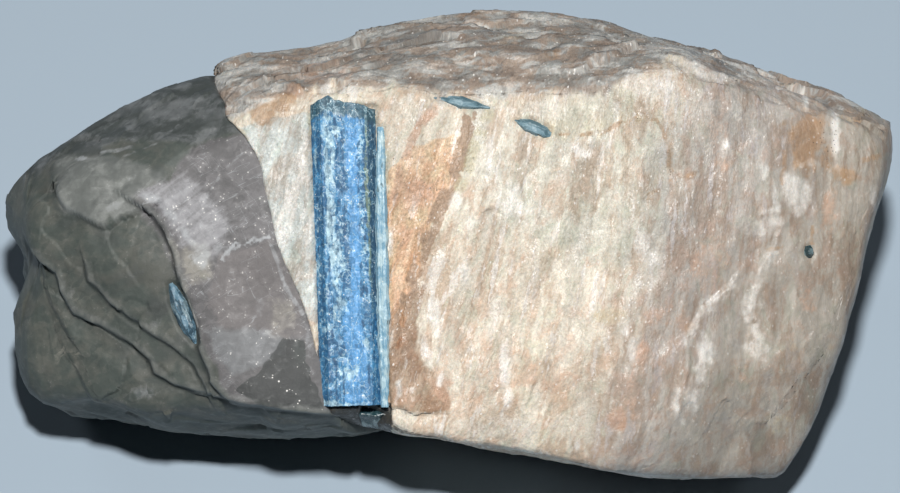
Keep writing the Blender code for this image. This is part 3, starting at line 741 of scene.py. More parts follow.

# %% [markdown]
# ## Patches of colour
# Colour in a rock mostly follows its minerals, not its bumps: salmon and cream feldspar, white cleavage
# cracks, rust in the pits. The white mask also carries painted glints, where cleavage steps and their edges
# catch the light. Each finish gets a mask from soft ellipses and lines laid out on the face. The masks
# go into the mesh as attributes, and the material later breaks their edges up with fine noise.

# %% Finishes of the feldspar, as patches on the face
FELDSPAR_PATCHES = {  # across, up, half width, half height, strength, slant in degrees if any
    "salmon": (
        (-3.7, 6.6, 2.68, 1.95, 1, -15), (-5.6, 1, 1.71, 1.95, 0.7, -12), (-1.2, -17.1, 1.34, 2.2, 1),
        (-5.9, -18.1, 1.71, 1.71, 0.7), (0.6, -12, 1.59, 3.17, 0.55, -10),
        (12.9, -15.7, 1.95, 4.39, 0.6, -6), (14.6, -8, 1.95, 0.98, 0.5), (9.8, -5.6, 0.73, 1.22, 0.5),
        (8.1, -1.9, 1.46, 1.59, 0.5), (20.4, -21.2, 1.1, 1.34, 1.1), (23.4, -13.2, 0.98, 1.95, 0.8),
        (22.2, -18.7, 0.85, 3.17, 0.6), (32, -1.9, 3.17, 5.12, 0.5, -4), (26.1, -8, 2.44, 1.83, 0.45),
        (31.7, 14.2, 2.44, 1.71, 0.5), (33.2, 9.9, 1.1, 1.1, 0.6), (43.9, -6.5, 1.71, 1.71, 0.6),
        (46.6, 4.2, 0.85, 3.42, 0.7), (-6.1, -5.3, 1.22, 2.93, 0.5, -8), (-17.1, 21.3, 2.2, 1.46, 0.6),
        (-12.8, 21.5, 1.71, 1.46, 0.6), (-18.3, 18.8, 2.68, 0.73, 0.7, -12),
        (-2.4, 16.7, 1.1, 0.61, 0.7, 30), (36, -15.7, 1.1, 1.46, 0.4), (25, -15.7, 1.46, 3.17, 0.4),
        (3.7, -4.7, 0.61, 1.46, 0.5), (10.5, 6.9, 0.61, 1.95, 0.5), (15.2, -0.4, 0.73, 2.44, 0.3),
        (6.5, -14.5, 5.0, 6.0, 0.5, -8), (15.0, -17.0, 3.0, 4.0, 0.45),
    ),
    "rust": (
        (-22.6, 15.9, 1.83, 1.34, 1.5, -15), (-20.4, 17.4, 1.6, 1.0, 1.2, 20),
        (29.3, 8.8, 1.34, 0.61, 1, 10), (43.4, 13, 2.1, 3.9, 1.1), (48.8, 8.7, 1.1, 1.2, 0.9),
        (46.3, 10.6, 1.3, 2.2, 0.7), (52.2, 11.0, 1.8, 0.5, 0.8, 20), (49.8, 15.4, 2.4, 0.5, 0.6, -20),
        (26.8, 11.8, 0.49, 3.17, 0.8, -4), (29.3, -9.6, 0.85, 1.1, 0.6), (2.7, 28.5, 2.2, 0.73, 0.8),
        (12, 23.7, 1.71, 0.73, 0.7), (40.6, 8.4, 0.37, 0.98, 0.8), (-18.3, 19.3, 1.46, 0.61, 0.6, -14),
        (47.3, 9.1, 0.61, 1.71, 0.9), (23.8, 3, 0.37, 1.95, 0.4), (20.7, -10.2, 0.37, 0.98, 0.4),
    ),
    # White cleavage, with painted glints where cleavage steps catch the light.
    "white": (
        (0.9, 5.7, 0.85, 1.59, 1, -8), (2.7, 2.9, 0.73, 1.83, 0.9, -8), (7.7, 6.2, 0.98, 1.83, 1),
        (8.3, 4.7, 0.49, 1.59, 1), (4.9, 2, 1.46, 2.2, 0.5), (1.7, -3.5, 0.61, 1.83, 0.9, -5),
        (-2, -8, 0.85, 3.17, 1, 10), (-3, -12.4, 0.61, 2.2, 0.9, 12), (5.5, -8, 1.46, 2.93, 0.6, -5),
        (6.7, -15.1, 0.73, 2.56, 1), (7, -18.2, 0.61, 1.71, 0.9), (15.6, 11.7, 1.34, 0.49, 0.9, -30),
        (11.6, 16.4, 2.93, 1.59, 0.6), (16.5, 16.4, 2.68, 1.46, 0.5), (23.8, 19.3, 3.42, 1.95, 0.8, 12),
        (18.1, 9.1, 1.59, 2.32, 0.4), (13.7, 8.4, 1.71, 1.34, 0.4), (23.2, 1.3, 1.22, 2.32, 0.8),
        (24.6, -2.4, 1.46, 2.44, 0.6), (21.3, -10.2, 0.5, 0.9, 0.8, 20), (22.1, -12.5, 0.49, 1.46, 0.8),
        (31.1, -12.6, 1.1, 1.9, 0.9, 10), (30.6, -15.2, 0.8, 2.0, 0.8), (29.6, -18.2, 1.3, 2.0, 0.8),
        (31.7, -7.7, 1.46, 1.1, 0.8, 25), (36.6, -6.9, 0.85, 1.9, 0.8, -5), (38.1, -10.2, 0.73, 3.42, 0.5),
        (37.6, -12.3, 1.59, 1.1, 0.7), (38.4, 2.5, 1.95, 1.34, 0.7, 10), (38.9, 4.4, 1.5, 0.5, 0.8, 15),
        (34.8, 16.4, 0.85, 1.83, 0.7), (33.7, 12.4, 0.73, 0.73, 0.9), (38.4, 9.3, 0.49, 1.1, 0.9),
        (39.6, 6.2, 0.49, 1.34, 0.8), (43.7, 18.1, 0.49, 1.71, 1), (47.3, 13.4, 0.6, 3.9, 1.1),
        (44.2, 10.3, 0.6, 0.5, 1.2), (43.0, 9.9, 0.3, 0.3, 1.5), (36, 9.9, 1.1, 1.1, 0.6),
        (52, 6.2, 0.49, 1.59, 0.7), (15.5, -24.3, 0.49, 1.1, 0.9), (9.4, -22.8, 0.73, 1.34, 0.6),
        (3.7, -22.1, 5.12, 0.85, 0.5, -12), (-12, 19.1, 1.71, 0.73, 0.9), (-15.2, 19.3, 0.85, 0.73, 0.9),
        (20.7, 24, 2.68, 0.61, 0.6, 8), (18.3, 23, 1.22, 0.61, 0.5), (0, 25.4, 1.71, 0.61, 0.6),
        (-2.4, 24.2, 1.46, 0.49, 0.6), (13.4, 21.3, 1.95, 0.85, 0.5), (30.5, 22.1, 1.71, 0.61, 0.6, -8),
        (36, 21, 0.73, 0.49, 0.8), (14.6, -12, 0.98, 0.85, 0.3), (-18.3, 9.9, 1.22, 1.95, 0.7),
        (-19.5, 5.7, 0.98, 1.71, 0.6), (-17.3, 0.8, 0.61, 3.66, 0.7), (-20.7, 0.2, 0.61, 2.2, 0.8, -12),
        (-7.3, 0.8, 0.49, 1.71, 1.1), (6.1, -21.2, 2.44, 0.73, 0.6, -6), (7.9, 5.0, 1.7, 1.7, 0.9),
    ),
    "olive": (
        (10.4, -12, 2.2, 1.22, 0.7), (18.9, -8.4, 2.2, 1.22, 0.8), (-17.1, 14.6, 0.37, 2.2, 1.1),
        (35.4, 16.7, 1.46, 2.44, 0.4), (40.9, -22.1, 2.07, 1.46, 0.6), (46.4, -12.6, 1.22, 1.71, 0.5),
        (7.9, 26.4, 2.07, 1.1, 0.6), (23.2, 15.4, 1.22, 0.61, 0.5), (42.7, -12.6, 2.44, 1.46, 0.4),
        (-17.1, 4.2, 0.37, 0.98, 0.7), (8.5, -7.7, 1.95, 1.71, 0.4), (37.8, 3.8, 1.71, 2.44, 0.5),
        (18.3, -11.4, 1.22, 1.95, 0.5), (15.0, 15.4, 6.0, 2.4, 0.75),
    ),
    "dark": (
        (2.8, 10.8, 0.3, 0.24, 0.8, 30), (1.6, 8, 0.24, 0.49, 0.8, 15), (27, 9, 0.32, 0.4, 0.6, 20),
        (-8.7, 11.7, 0.37, 0.41, 1.1), (-17.3, 14.8, 0.17, 0.73, 0.7), (-17.1, 9.3, 0.17, 0.85, 0.6),
    ),
    "dotted": (
        (-6.6, 10.6, 1.1, 1.59, 1), (-2.4, 7.1, 1.83, 1.22, 1), (4.1, 13.2, 0.73, 0.73, 0.9),
        (9, 11.2, 0.98, 1.83, 0.9), (-5.9, 0.8, 1.71, 1.95, 0.7), (46.2, 12.7, 2.07, 2.93, 1.1),
        (16.1, 13.7, 3.42, 0.61, 1.1), (6.3, 9.9, 2.2, 1.46, 0.7), (-1.2, 12.4, 1.83, 0.98, 0.8),
        (23.2, 15.4, 1.95, 0.73, 0.9), (2.4, 9.1, 1.1, 2.44, 0.8), (27.1, 9.1, 1.22, 1.46, 0.8),
        (29.3, 9.1, 1.22, 0.98, 0.8), (18.3, 3.2, 7.32, 4.88, 0.45), (6.1, -13.8, 7.32, 6.1, 0.45),
        (35.4, 11.8, 3.66, 2.44, 0.5), (-12, 18.8, 2.2, 1.22, 0.9), (13.4, 18.1, 3.66, 0.61, 0.7),
        (20.7, 19.6, 1.95, 0.61, 0.8), (25.6, 6.9, 1.46, 0.98, 0.8), (-18.3, 11.8, 2.93, 3.66, 0.4),
    ),
    "vein": (),
}
print("finishes:", ", ".join(FELDSPAR_PATCHES))

# %% Finishes of the feldspar, as lines on the face
FELDSPAR_LINES = {  # points, half width, strength
    "salmon": (
        (((-1.6, 16.9), (-3.7, 14.8), (-4.6, 13), (-5.5, 10.6), (-6.6, 6.9), (-7.6, 3.8)), 0.49, 1),
    ),
    "vein": (
        (((2.4, 16.4), (2.2, 14.8), (1.5, 12), (0.6, 8.4), (-1.2, 4.8), (-2.4, 1.8), (-3.5, -1),
         (-4.5, -4.1), (-5.5, -7.1), (-6.3, -10.2), (-7, -12.9), (-7.4, -16.3)), 0.79, 1),
        (((-3.2, -4.7), (-4.1, -7.7), (-5.1, -11.4), (-6.1, -14.1), (-6.6, -16)), 0.3, 0.8),
    ),
    "rust": (
        (((13.2, 13.7), (15.2, 13.6), (18.3, 13.7), (19.8, 14.5), (21, 15.3), (23.2, 15.7),
         (25, 15.4)), 0.22, 0.9),
        (((25, 15.4), (25.9, 14), (26.6, 11.8), (27.1, 9.1)), 0.24, 0.9),
        (((27.1, 8.1), (25.6, 7.1), (24.2, 6.3), (23.8, 4.5)), 0.24, 0.8),
        (((44.5, 2.6), (44.4, 0.2)), 0.2, 0.9),
        (((40.9, 11.8), (40.6, 7.5)), 0.2, 0.8),
        (((38.8, -0.4), (40.9, -0.1)), 0.24, 0.7),
        (((50.3, 10.6), (53.1, 10.8)), 0.24, 0.6),
    ),
    "olive": (
        (((4.9, 16.4), (3.9, 14.5), (2.9, 11.8), (2, 8.7), (1, 6.9)), 0.73, 1),
    ),
    # Pale lines along the steps: partly white cracks, partly painted highlight on lit step edges.
    "white": (
        (((39.9, -0.7), (38.4, -2.3), (37.5, -4.7), (36.4, -7.5), (37.3, -9.6), (38.1, -12)), 0.3, 0.75),
        (((34.8, -4.6), (33.5, -5.9), (31.1, -7.1), (30, -9.2), (28.8, -12)), 0.3, 0.75),
        (((27.7, -17.3), (27.6, -19.9), (28.5, -21.8)), 0.17, 0.9),
        (((-1.2, 17.9), (1.5, 16.9), (6.1, 17.1), (7.9, 16.4)), 0.2, 0.6),
        (((21, 19.7), (24.4, 21.3), (28.8, 21.8), (31.1, 20.8), (37.2, 20.4), (41.7, 19.8)), 0.22, 0.6),
        (((-1, -15.3), (-1.5, -17)), 0.15, 1.1),
        (((-8.5, -1.9), (-8.1, -6.5), (-7.4, -10.2), (-7.3, -12.9)), 0.18, 0.7),
        (((-4.6, -17.3), (-4.1, -18.7)), 0.12, 1.1),
        (((-6.3, -16.5), (-6.1, -18.2)), 0.12, 1),
    ),
    "dark": (
        (((-8.8, -20.1), (-6.1, -19.8), (-4.3, -20.6), (-2.4, -20.4)), 0.1, 0.9),
        (((-7.1, -21.9), (-6.1, -22.6), (-2.4, -23.2), (0.6, -24), (3.7, -24.7), (6.7, -25.4),
         (11.6, -26), (17.1, -26.8)), 0.15, 0.8),
        (((-11.2, 19.3), (-9.8, 18.8), (-6.1, 19.6), (-2.4, 18.8), (2.4, 18.4), (8.5, 18.8),
         (13.4, 18.5), (18.3, 18.7)), 0.12, 0.7),
        (((39, -23.6), (42.5, -23.7)), 0.17, 0.6),
        (((32.9, -22.9), (37.2, -23.1)), 0.15, 0.5),
    ),
}
print("lines on the feldspar:", sum(len(lines) for lines in FELDSPAR_LINES.values()))

# %% Masks from patches, lines and outlines
LINE_SOFTNESS = 0.15
WHITE_SOFTNESS = 0.6


def patch_mask(points, patches, ragged):
    """Largest of the patches: 1 inside an ellipse, 0.5 at its rim and 0 well outside, its rim ragged."""
    total = np.zeros(len(points))
    for across, up, half_across, half_up, strength, *slant in patches:
        turn = math.radians(sum(slant))
        right = points[:, 0] - across
        above = points[:, 1] - up
        first = (right * math.cos(turn) + above * math.sin(turn)) / half_across
        second = (above * math.cos(turn) - right * math.sin(turn)) / half_up
        total = np.maximum(total, strength * np.clip(1.5 - np.hypot(first, second) + ragged, 0, 1))
    return total


def line_mask(points, lines, ragged, soft):
    """Largest of the lines: 1 on a line, 0.5 at its half width and 0 beyond."""
    total = np.zeros(len(points))
    for line, half, strength in lines:
        beside, past = beside_line(points, line)
        apart = np.abs(beside + 0.3 * ragged) + np.maximum(past, 0)
        total = np.maximum(total, strength * np.clip(1 - (apart - half) / soft, 0, 1))
    return total


def outline_mask(points, outline, soft, ragged):
    """1 inside a closed outline on the face, 0 outside: distance to the outline, signed by crossings."""
    closed = list(outline) + [outline[0]]
    apart = np.abs(beside_line(points, closed)[0])
    inside = np.zeros(len(points), bool)
    for (left, low), (right, high) in zip(closed[:-1], closed[1:]):
        between = (points[:, 1] > low) != (points[:, 1] > high)
        rise = high - low if high != low else 1.0
        inside ^= between & (points[:, 0] < left + (points[:, 1] - low) * (right - left) / rise)
    return eased_step(np.where(inside, apart, -apart) + ragged, -soft, soft)


def masks(points, normals, patches, lines):
    """One mask for each finish, on the side of the stone that carries the face."""
    ragged = wave(points, 2.2, 0.55, 51) + wave(points, 0.9, 0.4, 52)
    broken = np.clip(1.0 + wave(points, 1.6, 1.6, 53) + wave(points, 0.7, 0.8, 54), 0, 1)
    facing = eased_step(normals[:, 2], 0.0, 0.25)
    made = {}
    for finish in patches:
        mask = patch_mask(points, patches[finish], ragged)
        whole = 1.0 if finish == "dark" else broken
        soft = WHITE_SOFTNESS if finish == "white" else LINE_SOFTNESS
        mask = np.maximum(mask, whole * line_mask(points, lines.get(finish, ()), ragged, soft))
        made[finish] = mask * facing
    return made


feldspar_flat = feldspar_skin.reshape(-1, 3)
feldspar_masks = masks(feldspar_flat, feldspar_out, FELDSPAR_PATCHES, FELDSPAR_LINES)
print("masks of the feldspar so far:", len(feldspar_masks))

# %% Zones of the feldspar
FELDSPAR_ZONES = {
    "band": (
        (-7.8, 8.7), (-6.1, 10.6), (-4.6, 12), (-1.7, 13), (1, 13.7), (1.5, 12.5), (0.6, 8.5), (-1.3, 4.8),
        (-2.3, 2.6), (-3.3, -0.8), (-4.6, -6.5), (-5.9, -11.4), (-6.7, -15.3), (-7.9, -16.3),
    ),
    "chalk": (
        (-25.6, 14.5), (-22.9, 15.7), (-20.1, 15.9), (-17, 16.4), (-16.6, 7.1), (-16.2, -4.1), (-15.6, -9),
        (-15.9, -10.2), (-17.6, -8.7), (-18.3, -6.5), (-20.4, -1.9), (-21.3, 0.8), (-22.6, 5.8), (-23.2, 9),
        (-24, 11.4), (-25, 13.6),
    ),
    "loam": (
        (-7.8, -9), (-6.3, -6.5), (-3, -4.7), (-3.7, -7.7), (-4.4, -12.6), (-2.4, -15.3), (-0.5, -17.3),
        (0.2, -19.7), (-2.4, -20.4), (-7.8, -19.7),
    ),
    "bright": (
        (41, 9), (42.9, 8.4), (44.5, 7.1), (44.2, 5.2), (43, 3.7), (41.5, 3.9), (41, 5.6),
    ),
    "mossy": (
        (1, 15.5), (13, 18), (21, 18.6), (30, 14), (30, 3), (20, -3), (12, 0), (4, 5),
    ),
    # Painted shade: the recess under the prism's foot, darkened almost to black.
    "soot": (
        (-16.2, -19.1), (-10.2, -19.3), (-7.3, -19.5), (-6.8, -22.2), (-7.4, -23.2), (-14.6, -22.2),
    ),
    "crust": (
        (-29.9, 15.7), (-27.3, 15.2), (-25.6, 15.3), (-22.9, 17.3), (-18.3, 18.5), (-16.1, 19.3),
        (-14, 19.7), (-12, 19.1), (-10, 18.8), (-6.1, 19.7), (-2.4, 18.5), (3.7, 18.2), (8.5, 18.5),
        (13.4, 18.5), (18.3, 18.8), (21.3, 19.7), (23.8, 21.3), (26.8, 22.5), (29.3, 21.8), (30.7, 20.9),
        (35.4, 20.6), (41.5, 20.3), (44.5, 18.8), (47, 16.9), (50.3, 16.7), (53.1, 17.4), (62.2, 22.8),
        (62.2, 49.6), (-35.4, 49.6), (-35.4, 20.3),
    ),
}
ZONE_EDGES = {"crust": (1.3, 1.2), "mossy": (3, 2), "bright": (0.9, 0.9)}  # softness and raggedness
PLAIN_EDGE = (0.35, 0.5)
ragged_edge = wave(feldspar_flat, 2.0, 0.7, 55) + wave(feldspar_flat, 0.8, 0.4, 56)
for zone, outline in FELDSPAR_ZONES.items():
    soft, raggedness = ZONE_EDGES.get(zone, PLAIN_EDGE)
    feldspar_masks[zone] = outline_mask(feldspar_flat, outline, soft, raggedness * ragged_edge)
print("zones of the feldspar:", ", ".join(FELDSPAR_ZONES))

# %% [markdown]
# ## Masks that follow the shape
# The face is crisp on its left and dull and rosy on its right, so three masks change slowly across it.
# The whole back is weathered, which makes it crust. The last two masks come from the same broken cells
# that roughened the skin: each leaf has its own tone, and painted shade darkens the gaps between leaves.

# %% Slopes of tone, the weathered back and the leaves
across, up = feldspar_flat[:, 0], feldspar_flat[:, 1]
feldspar_masks["crisp"] = 1.0 - 0.65 * eased_step(across - 0.5 * up, 16.0, 44.0)
slanted = across - 0.25 * up + 2.0 * ragged_edge
feldspar_masks["rosy"] = eased_step(slanted, 17.0, 31.0)
feldspar_masks["dull"] = eased_step(slanted - 0.25 * up, 31.0, 45.0)
behind = eased_step(0.25 * ragged_edge - feldspar_out[:, 2], 0.0, 0.6)
crust = np.maximum(feldspar_masks["crust"], behind)
feldspar_masks["crust"] = crust
face_lay = along_fibres(bent(feldspar_flat, *SPLINTER_BEND))
leaf_level, _, leaf_gap = broken_cells(face_lay, *SPLINTER_CELLS)
bent_flat = bent(feldspar_flat, *FLAKE_BEND)
flake_level, _, flake_gap = broken_cells(bent_flat, *FLAKE_CELLS)
big_flake_gap = broken_cells(bent_flat, *BIG_FLAKE_CELLS)[2]
feldspar_masks["leaf"] = 0.5 + 0.5 * (crust * flake_level + (1 - crust) * leaf_level)
# Painted shade in the gaps between the crust's flakes, and faintly between the face's splinters.
flake_gap_shade = np.maximum(1 - eased_step(flake_gap, 0.03, 0.16), 1 - eased_step(big_flake_gap, 0.02, 0.12))
leaf_gap_shade = 0.2 * (1 - crust) * (1 - eased_step(leaf_gap, 0.01, 0.08))
feldspar_masks["edges"] = crust * flake_gap_shade + leaf_gap_shade
for finish, mask in feldspar_masks.items():
    print(f"{finish:10s} covers {mask.mean():.3f} of the grid")

# %% Patches and lines of the quartz
QUARTZ_PATCHES = {
    "milky": (
        (-36.6, 6.0, 1.4, 0.7, 0.8, -20), (-34.2, 3.9, 1.5, 0.6, 0.8, -50), (-32, 1.2, 1.6, 0.6, 0.9, -55),
        (-30.4, -1.2, 1.2, 1.5, 0.9), (-28.2, -0.2, 0.8, 0.5, 0.8, 20), (-27.4, -12, 2.2, 1.1, 0.5, 10),
        (-23.4, -7.1, 0.73, 1.71, 0.5, 10), (-22.9, -10.4, 1.22, 0.61, 0.5),
        (-36, -9.2, 1.1, 1.46, 0.4, -20), (-37.8, -18.1, 1.95, 1.1, 0.6),
        (-38.8, 7.7, 1.46, 1.95, 0.45, -30), (-27.8, -0.4, 1.46, 0.61, 0.5, 20),
        (-17.1, -12, 0.73, 2.68, 0.5), (-45.6, 11, 0.98, 0.37, 0.9), (-41.2, 5.1, 0.98, 0.98, 0.4),
        (-47.2, -5.5, 1.2, 3.0, 0.35, 20), (-38.0, -11.5, 2.6, 0.9, 0.35, -30),
    ),
    "tan": (
        (-31.0, -2.0, 1.9, 2.2, 1.0, 20), (-33.6, -0.9, 0.7, 1.5, 0.8, 20), (-32.4, -5.4, 0.6, 2.2, 0.6, 8),
        (-20.4, -8.7, 1.71, 2.68, 0.7), (-30.7, -0.4, 0.98, 1.22, 0.5),
        (-47.6, -13.6, 2.93, 1.46, 0.4, -20), (-45.8, -6.5, 1.46, 0.98, 0.35),
    ),
    "deep": (
        (-36, -7.5, 1.95, 1.46, 1, 20), (-39, 16.4, 1.71, 1.1, 0.8, -20),
        (-45.4, 12.1, 2.2, 0.85, 0.8, -10), (-35.6, 9.1, 1.1, 0.98, 0.7), (-29.9, 15.4, 2.93, 0.98, 0.7),
        (-41.5, 10.6, 1.22, 0.49, 0.7), (-47, 3, 2.2, 0.98, 0.7, 20), (-42.1, 0.8, 2.68, 1.22, 0.6, 30),
        (-30.1, -3.7, 0.37, 0.37, 1.1), (-30.4, -3, 0.18, 0.37, 1.1), (-40.3, -12.9, 1.71, 0.98, 0.6, 30),
        (-32.9, -11.4, 0.98, 0.98, 0.7), (-18.3, -12.9, 0.98, 1.46, 0.8),
        (-34.8, -12.9, 1.46, 0.98, 0.6, 20), (-39.6, -4.1, 2.93, 1.46, 0.5, 30),
    ),
}
QUARTZ_LINES = {
    "milky": (
        (((-22, 1.2), (-23.3, 0.8), (-24.0, 0.9), (-25.0, 0.2), (-26.2, 0.3), (-27.3, -0.7), (-28.0, -1.8)),
         0.08, 1.2),
        (((-22.8, 0.7), (-23.9, 0.5), (-24.9, -0.4)), 0.05, 0.8),
        (((-25.6, 0.0), (-26.9, -0.6), (-27.6, -1.9)), 0.2, 0.9),
        (((-21.9, 0.2), (-20.9, -1.9), (-20.5, -4.1), (-19.0, -6.5), (-17.8, -8.5)), 0.25, 0.8),
        (((-27.1, 9.8), (-28.5, 8.1), (-29.6, 6.6), (-30.3, 3.8), (-30.5, 1)), 0.11, 0.6),
        (((-25.3, 11.5), (-27.1, 9.8)), 0.1, 0.5),
        (((-27.8, 13), (-28.8, 9.9)), 0.1, 0.4),
        (((-40.3, 11), (-37.8, 12), (-34.4, 13)), 0.12, 0.5),
        (((-47.8, 11.2), (-45.1, 11.2), (-43.2, 11.4), (-39, 12.3)), 0.2, 0.6),
        (((-30.5, -10.2), (-28.7, -12.9), (-26.6, -15.8)), 0.15, 0.4),
        (((-17.6, -8.7), (-17.2, -12), (-16.9, -14.5)), 0.2, 0.5),
        (((-34.8, 0.8), (-32.3, -4.7), (-30.5, -5.9)), 0.12, 0.3),
    ),
    "deep": (
        # The first line is painted shadow under the slab's lower edge.
        (((-49.4, 9.9), (-49, 6.9), (-48.4, 4.7), (-46.8, 3.6), (-44.5, 3), (-42.7, 1.8)), 0.22, 0.8),
        (((-47.9, 11.8), (-45.8, 11.8), (-43.7, 12.5), (-40.3, 13.7)), 0.2, 0.6),
    ),
}
quartz_flat = quartz_skin.reshape(-1, 3)
quartz_masks = masks(quartz_flat, quartz_out, QUARTZ_PATCHES, QUARTZ_LINES)
print("masks of the quartz so far:", ", ".join(quartz_masks))

# %% Zones of the quartz
QUARTZ_ZONES = {
    "plate": (
        (-39, 5.9), (-36.6, 7.3), (-34.2, 8.1), (-32.9, 10.6), (-31.7, 12), (-28.7, 13.2), (-25.6, 13.8),
        (-19.5, 14.8), (-12, -20.2), (-22, -19.8), (-25.6, -19), (-27.1, -18.5), (-27.8, -16.9),
        (-28.7, -14.5), (-30.5, -12), (-31.4, -10.2), (-31.7, -7.1), (-32.9, -4.7), (-33.8, -2.9),
        (-34.5, -1), (-35.4, 0.8), (-37.2, 3.2),
    ),
    "glow": (
        (-39.2, 6.6), (-35.7, 7.9), (-32.3, 8.9), (-29.5, 7.4), (-27.4, 4.6), (-26.6, 1.4), (-27.8, -0.4),
        (-28.8, -1.9), (-30.5, -1.9), (-32.3, -0.4), (-34.2, 1.8), (-36, 4.5),
    ),
    "mauve": (
        (-27.8, -0.7), (-22.2, 0.8), (-20.4, -1.9), (-18.3, -6.5), (-17.6, -10.8), (-20.1, -11.4),
        (-24.4, -10.4), (-27.4, -10.4), (-29.9, -7.1), (-28.8, -2.6),
    ),
    "frost": (
        (-30.1, -10.2), (-24.4, -9.9), (-19.9, -11.4), (-20.5, -13.2), (-24.4, -15.3), (-26.6, -15.6),
        (-28.9, -12.9),
    ),
    "night": (
        (-20.3, -11.4), (-17.9, -11.4), (-17.6, -13.8), (-15.5, -19.9), (-22.9, -19.7), (-26.1, -17.5),
        (-22.9, -14.8),
    ),
    "slab": (
        (-48.8, 9.9), (-47.9, 11.2), (-43.3, 11.4), (-40.3, 10.8), (-37.2, 9.9), (-35.1, 8.4), (-39, 5.9),
        (-37.6, 4), (-40.3, 4), (-40.9, 3), (-41.7, 4.1), (-42.3, 2.5), (-43.7, 3), (-45.1, 3.7),
        (-47.3, 4.2), (-47.9, 5.1), (-48.6, 7.5),
    ),
    "brow": (
        (-59.8, 30.1), (-59.8, 9.3), (-52.5, 8.7), (-47.9, 11.3), (-43.7, 11.9), (-40.5, 13.2), (-35.4, 13),
        (-31.7, 12.3), (-28.7, 13.5), (-25.6, 14.1), (-19.5, 14.8), (-19.5, 30.1),
    ),
}
QUARTZ_SOFTNESS = {"glow": 1.6, "mauve": 0.9, "frost": 0.8}
PLAIN_SOFTNESS = 0.35
quartz_edge = 0.6 * (wave(quartz_flat, 2.0, 0.6, 57) + wave(quartz_flat, 0.8, 0.35, 58))
for zone, outline in QUARTZ_ZONES.items():
    soft = QUARTZ_SOFTNESS.get(zone, PLAIN_SOFTNESS)
    quartz_masks[zone] = outline_mask(quartz_flat, outline, soft, quartz_edge)
    if zone != "brow":
        quartz_masks[zone] *= eased_step(quartz_out[:, 2], 0.1, 0.3)
print("the plate covers", quartz_masks["plate"].mean().round(3), "of the quartz's grid")

# %% [markdown]
# ## Light and dark beside the ledges
# A ledge throws no more than a thin shadow, but a painted highlight along its upper edge and painted shade
# just below it make it read from afar. Both masks are the ledge's drop times a step at its line, and they
# fade away from it.

# %% Creases, crests and shells of the quartz
CREASE_REACH = 0.9
CREST_REACH = 1.6
LINE_PAST = 0.5  # how far past a line's ends its masks hold
LEDGES_BEGIN = 2  # depth from which the ledges show


def ledge_masks(points):
    """Largest over the ledges of the painted shade just under each line and the painted highlight just
    above it.
    """
    crease = np.zeros(len(points))
    crest = np.zeros(len(points))
    for line, drop, _ in QUARTZ_LEDGES:
        beyond, past = beside_line(points, line)
        beside = (past < LINE_PAST) & (points[:, 2] > LEDGES_BEGIN)
        below = drop * eased_step(beyond, -0.15, 0.15) * np.exp(-np.maximum(beyond, 0) / CREASE_REACH)
        above = drop * eased_step(beyond, -CREST_REACH, -0.2) * (beyond < 0)
        crease = np.maximum(crease, below * beside)
        crest = np.maximum(crest, above * beside)
    return {"crease": crease, "crest": crest}


quartz_masks |= ledge_masks(quartz_flat)
quartz_masks["leaf"] = 0.5 + 0.5 * broken_cells(bent(quartz_flat, *SHELL_BEND), *SHELL_CELLS)[0]
for finish in ("crease", "crest", "leaf"):
    print(f"{finish:10s} is {quartz_masks[finish].mean():.3f} on average")

# %% [markdown]
# ## Meshes from grids
# A grid that runs round and closes at both ends needs only its quads. The end rows shrink to a point, so
# each end row is merged into one vertex and closed with triangles, which leaves the mesh watertight.

# %% Mesh helpers
def closed_mesh(name, stone_mm, rows, around, attributes, vectors):
    """Quads between the rows of a grid, a fan at each end, and attributes for every vertex."""
    grid = stone_mm.reshape(rows, around, 3)
    ends = np.stack([grid[0].mean(0), grid[-1].mean(0)])
    vertices = np.concatenate([grid[1:-1].reshape(-1, 3), ends]) * MM
    index = np.arange((rows - 2) * around).reshape(rows - 2, around)
    after = np.roll(index, -1, 1)
    quads = np.stack([index[:-1], index[1:], after[1:], after[:-1]], -1).reshape(-1, 4)
    low, high = len(vertices) - 2, len(vertices) - 1
    first = np.stack([np.full(around, low), index[0], after[0]], 1)
    last = np.stack([np.full(around, high), after[-1], index[-1]], 1)
    mesh = bpy.data.meshes.new(name)
    mesh.from_pydata(vertices.tolist(), [], quads.tolist() + first.tolist() + last.tolist())
    keep = np.concatenate([np.arange(around, (rows - 1) * around), [0, (rows - 1) * around]])
    for label, values in attributes.items():
        layer = mesh.attributes.new(label, "FLOAT", "POINT")
        layer.data.foreach_set("value", values[keep].astype(np.float32))
    for label, values in vectors.items():
        layer = mesh.attributes.new(label, "FLOAT_VECTOR", "POINT")
        layer.data.foreach_set("vector", values[keep].astype(np.float32).ravel())
    mesh.shade_smooth()
    mesh.update()
    return mesh


def add_piece(name, mesh, node, finish):
    """Put a mesh in the scene as a piece that stands for a CAD node."""
    piece = bpy.data.objects.new(name, mesh)
    bpy.context.scene.collection.objects.link(piece)
    mesh.materials.append(finish)
    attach(piece, "root")
    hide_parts(node)
    print(f"{name}: {len(mesh.vertices)} vertices, {len(mesh.polygons)} faces")


def volume(mesh):
    """Enclosed volume in cubic millimetres, positive when the faces point outwards."""
    mesh.calc_loop_triangles()
    corners = np.zeros(len(mesh.vertices) * 3)
    mesh.vertices.foreach_get("co", corners)
    corners = corners.reshape(-1, 3)
    triangles = np.zeros(len(mesh.loop_triangles) * 3, int)
    mesh.loop_triangles.foreach_get("vertices", triangles)
    first, second, third = corners[triangles.reshape(-1, 3)].transpose(1, 0, 2)
    return float((first * np.cross(second, third)).sum() / 6 / MM ** 3)

